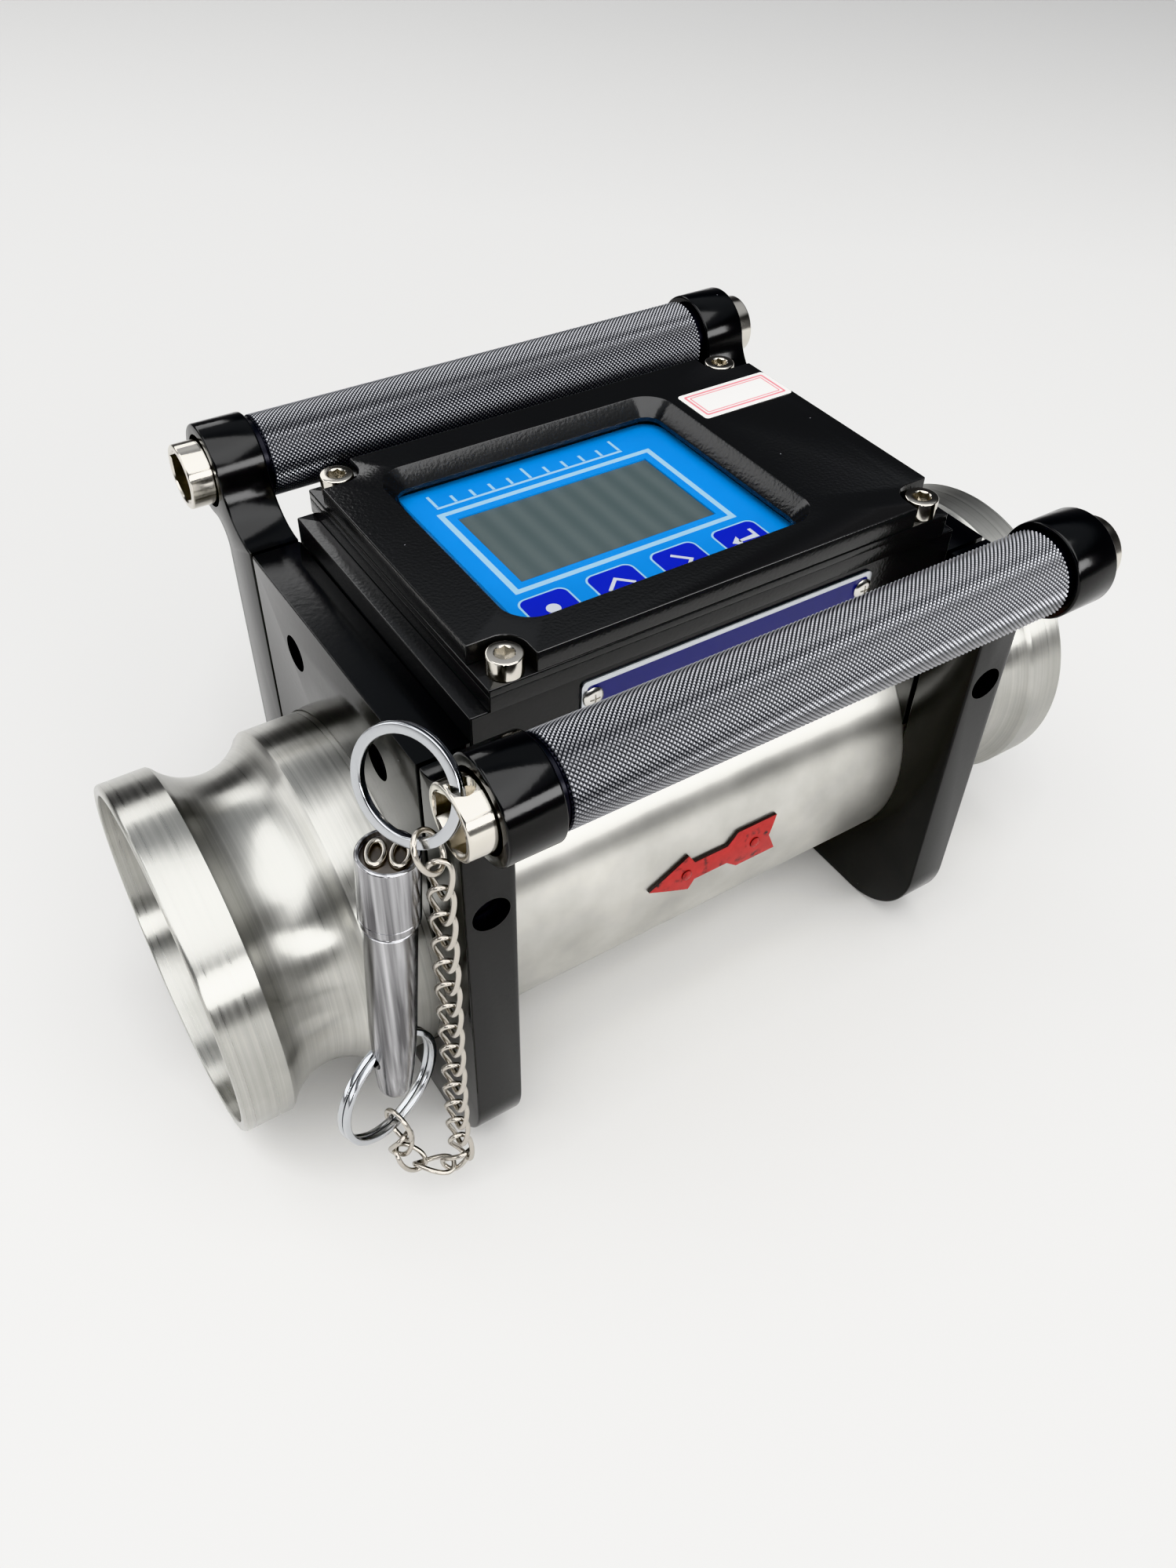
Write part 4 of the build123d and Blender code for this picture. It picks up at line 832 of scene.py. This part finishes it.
# %% Nameplate and its screws
plate_low, plate_high, plate_face, screw_in = 108.2, 132.7, -house_y, 4.3


def facing_front(u, v, w):
    """Outlines in X and Z, carried towards the front from the housing's face."""
    return np.stack([u, plate_face - w, v], -1)


piece("nameplate_aluminium",
      [prism(box_outline(-40.5, 40.5, plate_low, plate_high, 1.5), facing_front, 0.02, 0.75, 0.15)],
      plate_silver, "root", ["nameplate"])
piece("nameplate_field",
      [prism(box_outline(-39.2, 39.2, plate_low + 1.3, plate_high - 1.3, 1.0), facing_front,
             0.72, 0.79)], plate_blue, "root")


def cross_screw():
    """A pan head with a cross recess: the dome is a shallow arc over a short wall."""
    dome = [(-4.0, 0), (-4.0, 1.25), (0, 1.25), (0, 2.55), (0.35, 2.6), (0.75, 2.3), (1.02, 1.6),
            (1.15, 0.8), (1.2, 0)]
    screw = piece("screw", [lathe(dome, (0, 0, 0), (0, 0, 1), 48)], nickel)
    bars = [box_outline(-a, a, -b, b, 0.08, 2) for a, b in ((1.3, 0.2), (0.2, 1.3))]
    return cut(screw, *[piece("driver", [prism(bar, flat, 0.7, 2.0)], nickel) for bar in bars])


pan_seats = [((sx * 37.8, plate_face - 0.8, z), (0, -1, 0))
             for sx in (-1, 1) for z in (plate_low + screw_in, plate_high - screw_in)]
piece("pan_screws", copies(cross_screw(), pan_seats), screw_steel, "root",
      ["nameplate_screws"])

# %% Sticker
label = (34.0, 62.0, 15.0, 28.0)
piece("label_paper", [prism(box_outline(*label, 1.0), flat, lid_top + 0.01, lid_top + 0.17, 0.05)],
      sticker_paper, "root", ["asset_sticker"])
for name, gap, width in (("outer", 1.2, 0.55), ("inner", 2.3, 0.3)):
    x0, x1, y0, y1 = label[0] + gap, label[1] - gap, label[2] + gap, label[3] - gap
    ink("label_frame_" + name, [box_outline(x0, x1, y0, y1, 0.6)], lid_top + 0.17, pink_ink,
        [box_outline(x0 + width, x1 - width, y0 + width, y1 - width, 0.4)])

# %% Rivets of the arrow
arrow_lean, arrow_top = math.radians(176.0), 0.95
outward = np.array((0, math.cos(arrow_lean), math.sin(arrow_lean)))
head = [(-3.0, 0), (-3.0, 0.8), (0, 0.8), (0, 1.6), (0.25, 1.55), (0.48, 1.1), (0.6, 0)]
rivets = [lathe(head, np.array((x, 0, tube_z)) + outward * (tube_radius + arrow_top), outward, 40)
          for x in (-8.7, 13.7)]
piece("rivet_heads", rivets, arrow_paint, "root", ["arrow_rivets"])

# %% [markdown]
# ## Rings, stylus and chain
# The magnetic stylus works the keys through the glass. It hangs on a short curb chain between
# the key ring and a split ring. A curb link is an oval of wire whose ends are twisted apart, so
# that the links lie flat: point = (a cos t, b sin t cos w, b sin t sin w), with w = twist * cos t.

# %% Key ring
key_centre, key_normal = np.array((-88.7, -59.5, 141.3)), unit((-0.85, -0.42, 0.31))
key_radius, key_band, key_thick = 12.57, 2.4, 1.8
key_half, key_outer = key_thick / 2, key_radius - 0.15
band = rounded([(-key_half, key_radius - key_band), (key_half, key_radius - key_band),
                (key_half, key_outer), (0.08, key_outer), (0, key_radius - 0.3),
                (-0.08, key_outer), (-key_half, key_outer)], [0.35, 0.35, 0.3, 0, 0, 0, 0.3], 4)
piece("key_ring_polished", [lathe(band, key_centre, key_normal, 128, closed=True)], ring_steel,
      "key_ring", ["key_ring"])

# %% Split ring, two turns of flat wire that step over each other
split_centre, split_normal = np.array((-99.8, -55.9, 46.8)), unit((0.35, -0.94, 0.04))
split_radius, split_step = 14.2, 1.62
side = unit(np.cross(split_normal, (0, 0, 1)))
up = np.cross(side, split_normal)
t = np.linspace(0, 4 * math.pi, 241)
step = np.clip((t - 2 * math.pi) / 0.7 + 0.5, 0, 1)
step = step * step * (3 - 2 * step)
offset = (step - 0.5) * split_step
radial = np.cos(t + 2.2)[:, None] * side + np.sin(t + 2.2)[:, None] * up
path = split_centre + split_radius * radial + offset[:, None] * split_normal
wire = box_outline(-0.78, 0.78, -0.7, 0.7, 0.3, 3)
piece("split_ring_coils", [swept(path, radial, wire, closed=False)], ring_steel, "stylus",
      ["split_ring"])

# %% Stylus
pen_top, pen_tip = np.array((-94.0, -59.5, 126.7)), np.array((-98.8, -57.0, 45.7))
pen_axis = unit(pen_top - pen_tip)
pen_length = float(np.linalg.norm(pen_top - pen_tip))
base = pen_length - 19.0
nose = arc((4.0, 0.0), 4.0, 180, 90, 10)
profile = np.concatenate([
    nose, [(12.0, 4.75), (26.0, 5.3), (base - 1.6, 5.65)],
    arc((base - 0.9, 5.9), 0.6, -160, -20, 5), [(base - 0.2, 6.1)],
    arc((base + 0.6, 6.0), 0.4, 180, 90, 4),
    [(base + 2.0, 6.4), (base + 2.15, 6.25), (base + 2.3, 6.4)],
    arc((pen_length - 0.5, 5.9), 0.5, 90, 0, 4),
    [(pen_length, 5.6), (pen_length - 1.2, 5.55), (pen_length - 1.2, 0)],
])
pen = piece("stylus_turned", [lathe(profile, pen_tip, pen_axis, 112)], stylus_steel, "stylus",
            ["stylus_pen"])
hole_centre = split_centre + (0, 0, split_radius)
along_hole = unit(np.cross(pen_axis, split_normal))
cut(pen, drill(2.6, hole_centre - along_hole * 8.0, along_hole, 16.0))
disc = [(-1.3, 0), (-1.3, 5.4), (-1.22, 5.45), (0, 5.45), (0.05, 5.3), (0.05, 0)]
piece("magnet_disc", [lathe(disc, pen_top - pen_axis * 1.15, pen_axis, 72)], magnet_plate,
      "stylus", ["stylus_magnet"])


# %% Curb chain
def wire_link(centre, run, flat_way, long_half, wide_half, twist, squareness=1.0):
    """One closed link of round wire, in the plane of its run and flat way. A squareness under 1
    is the power of both cosine and sine, and fills the corners of the oval."""
    t = np.linspace(0, 2 * math.pi, 56, endpoint=False) + 0.01
    x = long_half * np.sign(np.cos(t)) * np.abs(np.cos(t)) ** squareness
    y = wide_half * np.sign(np.sin(t)) * np.abs(np.sin(t)) ** squareness
    lean = math.radians(twist) * x / long_half
    local = np.stack([x, y * np.cos(lean), y * np.sin(lean)], 1)
    run, flat_way = unit(run), unit(flat_way)
    axes = np.stack([run, np.cross(flat_way, run), flat_way])
    path = centre + local @ axes
    section = arc((0, 0), chain_wire, 0, 360, 12)[:-1]
    return swept(path, path - centre + 1e-6, section)


def hung_link(centre, normal, radius, section, turn, pull):
    """Where an end link hangs round a ring: its middle, its run, its flat way and its joint."""
    lowest = unit(normal * normal[2] - np.array((0, 0, 1)))
    sideways = np.cross(normal, lowest)
    lean = math.radians(turn)
    spot = centre + (lowest * math.cos(lean) + sideways * math.sin(lean)) * radius
    tangent = sideways * math.cos(lean) - lowest * math.sin(lean)
    pull = np.asarray(pull, float)
    run = unit(pull - tangent * (pull @ tangent))
    middle = spot + run * (end_half - chain_wire - section / 2 - slack)
    return middle, run, tangent, middle + run * (end_half - chain_wire - slack)


chain_wire, end_half, end_wide, slack = 0.62, 4.9, 3.6, 0.25
chain_pitch, link_half, link_wide, link_twist, link_squareness = 7.6, 4.9, 2.6, 35.0, 0.8
top_link = hung_link(key_centre, key_normal, key_radius - key_band / 2,
                     math.hypot(key_band, key_thick), 25.0, (0.3, -0.1, -1.0))
low_link = hung_link(split_centre, split_normal, split_radius, math.hypot(1.6, 3.2), 0.0,
                     (0.35, -0.3, -1.0))
a, b, c = (np.array(p) for p in ((-88.0, -66.0, 26.0), (-93.6, -62.0, 13.2), low_link[3]))
ab, ac = b - a, c - a
square = np.cross(ab, ac)
pull = np.cross(square, ab) * (ac @ ac) + np.cross(ac, square) * (ab @ ab)
middle = a + pull / (2 * square @ square)
radius = np.linalg.norm(a - middle)
first, across = unit(a - middle), np.cross(unit(square), unit(a - middle))
full = math.atan2((c - middle) @ across, (c - middle) @ first) % (2 * math.pi)
loop = middle + radius * (np.cos(np.linspace(0, full, 200))[:, None] * first
                          + np.sin(np.linspace(0, full, 200))[:, None] * across)
drop = np.linspace(top_link[3], a, 200)
route = np.concatenate([drop, loop[1:]])
travel = np.concatenate([[0], np.cumsum(np.linalg.norm(np.diff(route, axis=0), axis=1))])
count = round(travel[-1] / chain_pitch)
marks = np.stack([np.interp(np.linspace(0, travel[-1], count + 1), travel, route[:, k])
                  for k in range(3)], 1)
turn_share = np.linalg.norm(drop[-1] - drop[0]) / travel[-1]
plate_way, loop_roll = np.array((0.866, 0.5, 0.0)), -140.0
links = [wire_link(e[0], e[1], e[2], end_half, end_wide, 0) for e in (top_link, low_link)]
for k in range(count):
    run = unit(marks[k + 1] - marks[k])
    face = unit(plate_way - run * (plate_way @ run))
    roll = math.radians(loop_roll * max(0, ((k + 0.5) / count - turn_share) / (1 - turn_share)))
    face = face * math.cos(roll) + np.cross(run, face) * math.sin(roll)
    links.append(wire_link((marks[k] + marks[k + 1]) / 2, run, face, link_half, link_wide,
                           link_twist, link_squareness))
piece("curb_chain", links, chain_steel, "stylus", ["chain"], sharp=60)
print("chain links:", count + 2)

# %% Two loops that the magnet holds in the cup of the stylus
cup = pen_top - pen_axis * 0.46
sidelong = unit(np.cross(pen_axis, np.cross((0.84, -0.54, 0.0), pen_axis)))
loops = [wire_link(cup + sidelong * way, np.cross(pen_axis, sidelong), pen_axis, 3.1, 1.65, 0)
         for way in (-2.35, 2.35)]
piece("cup_loops", loops, chain_steel, "stylus", sharp=60)

# %% [markdown]
# ## Pieces that keep their solid
# Pieces that are flat, or hidden in the tube and the housing, look right as they are, and only
# take their finish.

# %% Dress the remaining solids
dressed = {
    "lid_gasket": gasket_rubber, "keypad_panel": panel_film, "lcd_module": display_film,
    "circuit_board": board_green, "board_standoffs": nickel, "battery_cell": cell_sleeve,
    "battery_holder": black_abs, "pickup_sensor": brass, "flow_arrow": arrow_paint,
    "flow_straightener_left": machined_aluminium, "flow_straightener_right": machined_aluminium,
    "retaining_rings": ring_steel, "rotor_bearings": ground_steel, "turbine_rotor": blade_steel,
    "rotor_shaft": ground_steel,
}
for name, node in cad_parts.items():
    node.data.materials.clear()
    node.data.materials.append(dressed.get(name, plate_paint))
print("dressed:", len(dressed))

# %% [markdown]
# ## Floor, light and camera
# A pale sweep under soft studio light. The room is bright overhead and dim towards the horizon,
# so that gloss black stays black while metal gets both light and dark to reflect. On the scale
# of its tones 0 is the horizon and 1 the zenith.

# %% Floor
bpy.ops.mesh.primitive_plane_add(size=6.0, location=(0, 0, 0))
ground = bpy.context.object
ground.name = "studio_floor"
ground_paint, tree, shader = new_finish("matte_white_card", Base_Color=linear("#D6D5D3"),
                                        Roughness=0.85)
ground.data.materials.append(ground_paint)

# %% Light
world = scene.world = scene.world or bpy.data.worlds.new("studio")
world.use_nodes = True
tree = world.node_tree
sky = add_node(tree, "ShaderNodeTexCoord").outputs["Generated"]
ramp = add_node(tree, "ShaderNodeValToRGB", {"Fac": parts(tree, sky)["Z"]})
stops = ramp.color_ramp.elements
stops[0].color, stops[1].color = linear("#8A898A"), linear("#84868A")
for place_up, tone in ((0.10, "#6E6E70"), (0.46, "#404144"), (0.54, "#48494C"),
                       (0.64, "#C9CBCE"), (0.86, "#DDDFE2")):
    stops.new(place_up).color = linear(tone)
tree.links.new(ramp.outputs[0], tree.nodes["Background"].inputs["Color"])
tree.nodes["Background"].inputs["Strength"].default_value = 0.9


def soft_light(name, place, target, size, power):
    """An area light at a place in metres that looks at a target."""
    lamp = bpy.data.lights.new(name, "AREA")
    lamp.shape, lamp.size, lamp.size_y = "RECTANGLE", size[0], size[1]
    lamp.energy = power
    thing = bpy.data.objects.new(name, lamp)
    scene.collection.objects.link(thing)
    thing.location = place
    aim = Vector(target) - Vector(place)
    thing.rotation_euler = aim.to_track_quat("-Z", "Y").to_euler()


soft_light("overhead_softbox", (-0.25, -0.35, 1.4), (0, 0, 0.06), (2.2, 1.6), 30)
soft_light("front_softbox", (0.3, -1.5, 0.72), (0, 0, 0.05), (1.9, 0.45), 21)
soft_light("left_softbox", (-1.5, 0.5, 0.5), (-0.1, 0, 0.06), (1.3, 0.5), 6)
soft_light("rear_softbox", (-0.35, 1.4, 1.0), (0, 0, 0.08), (1.6, 0.5), 6)
soft_light("low_left_lamp", (-0.9, -1.3, 0.45), (-0.08, -0.05, 0.08), (0.2, 0.2), 3)
print("lights:", len(bpy.data.lights))

# %% Tone: colours keep their hue and strength, and only the highlights are rolled off
bpy.context.scene.view_settings.view_transform = "Khronos PBR Neutral"

# %% Camera, at the place that was solved from the part's own edges
focal_px, picture_px, sensor = 1621.3, 1999, 36.0
lens = bpy.data.cameras.new("photo_camera")
lens.sensor_width, lens.sensor_fit = sensor, "AUTO"
lens.lens = focal_px * sensor / picture_px
lens.clip_start = 0.01
camera = bpy.data.objects.new("photo_camera", lens)
scene.collection.objects.link(camera)
right = Vector((0.84027, -0.54174, 0.02162))
above = Vector((0.3659, 0.59604, 0.71474))
behind = Vector((-0.40009, -0.59266, 0.69906))
turn = Matrix((right, above, behind)).transposed().to_4x4()
camera.matrix_world = Matrix.Translation((-0.15337, -0.21399, 0.30369)) @ turn
scene.camera = camera
print("camera at", [round(v, 4) for v in camera.location])

# %% Finish
bpy.context.view_layer.update()
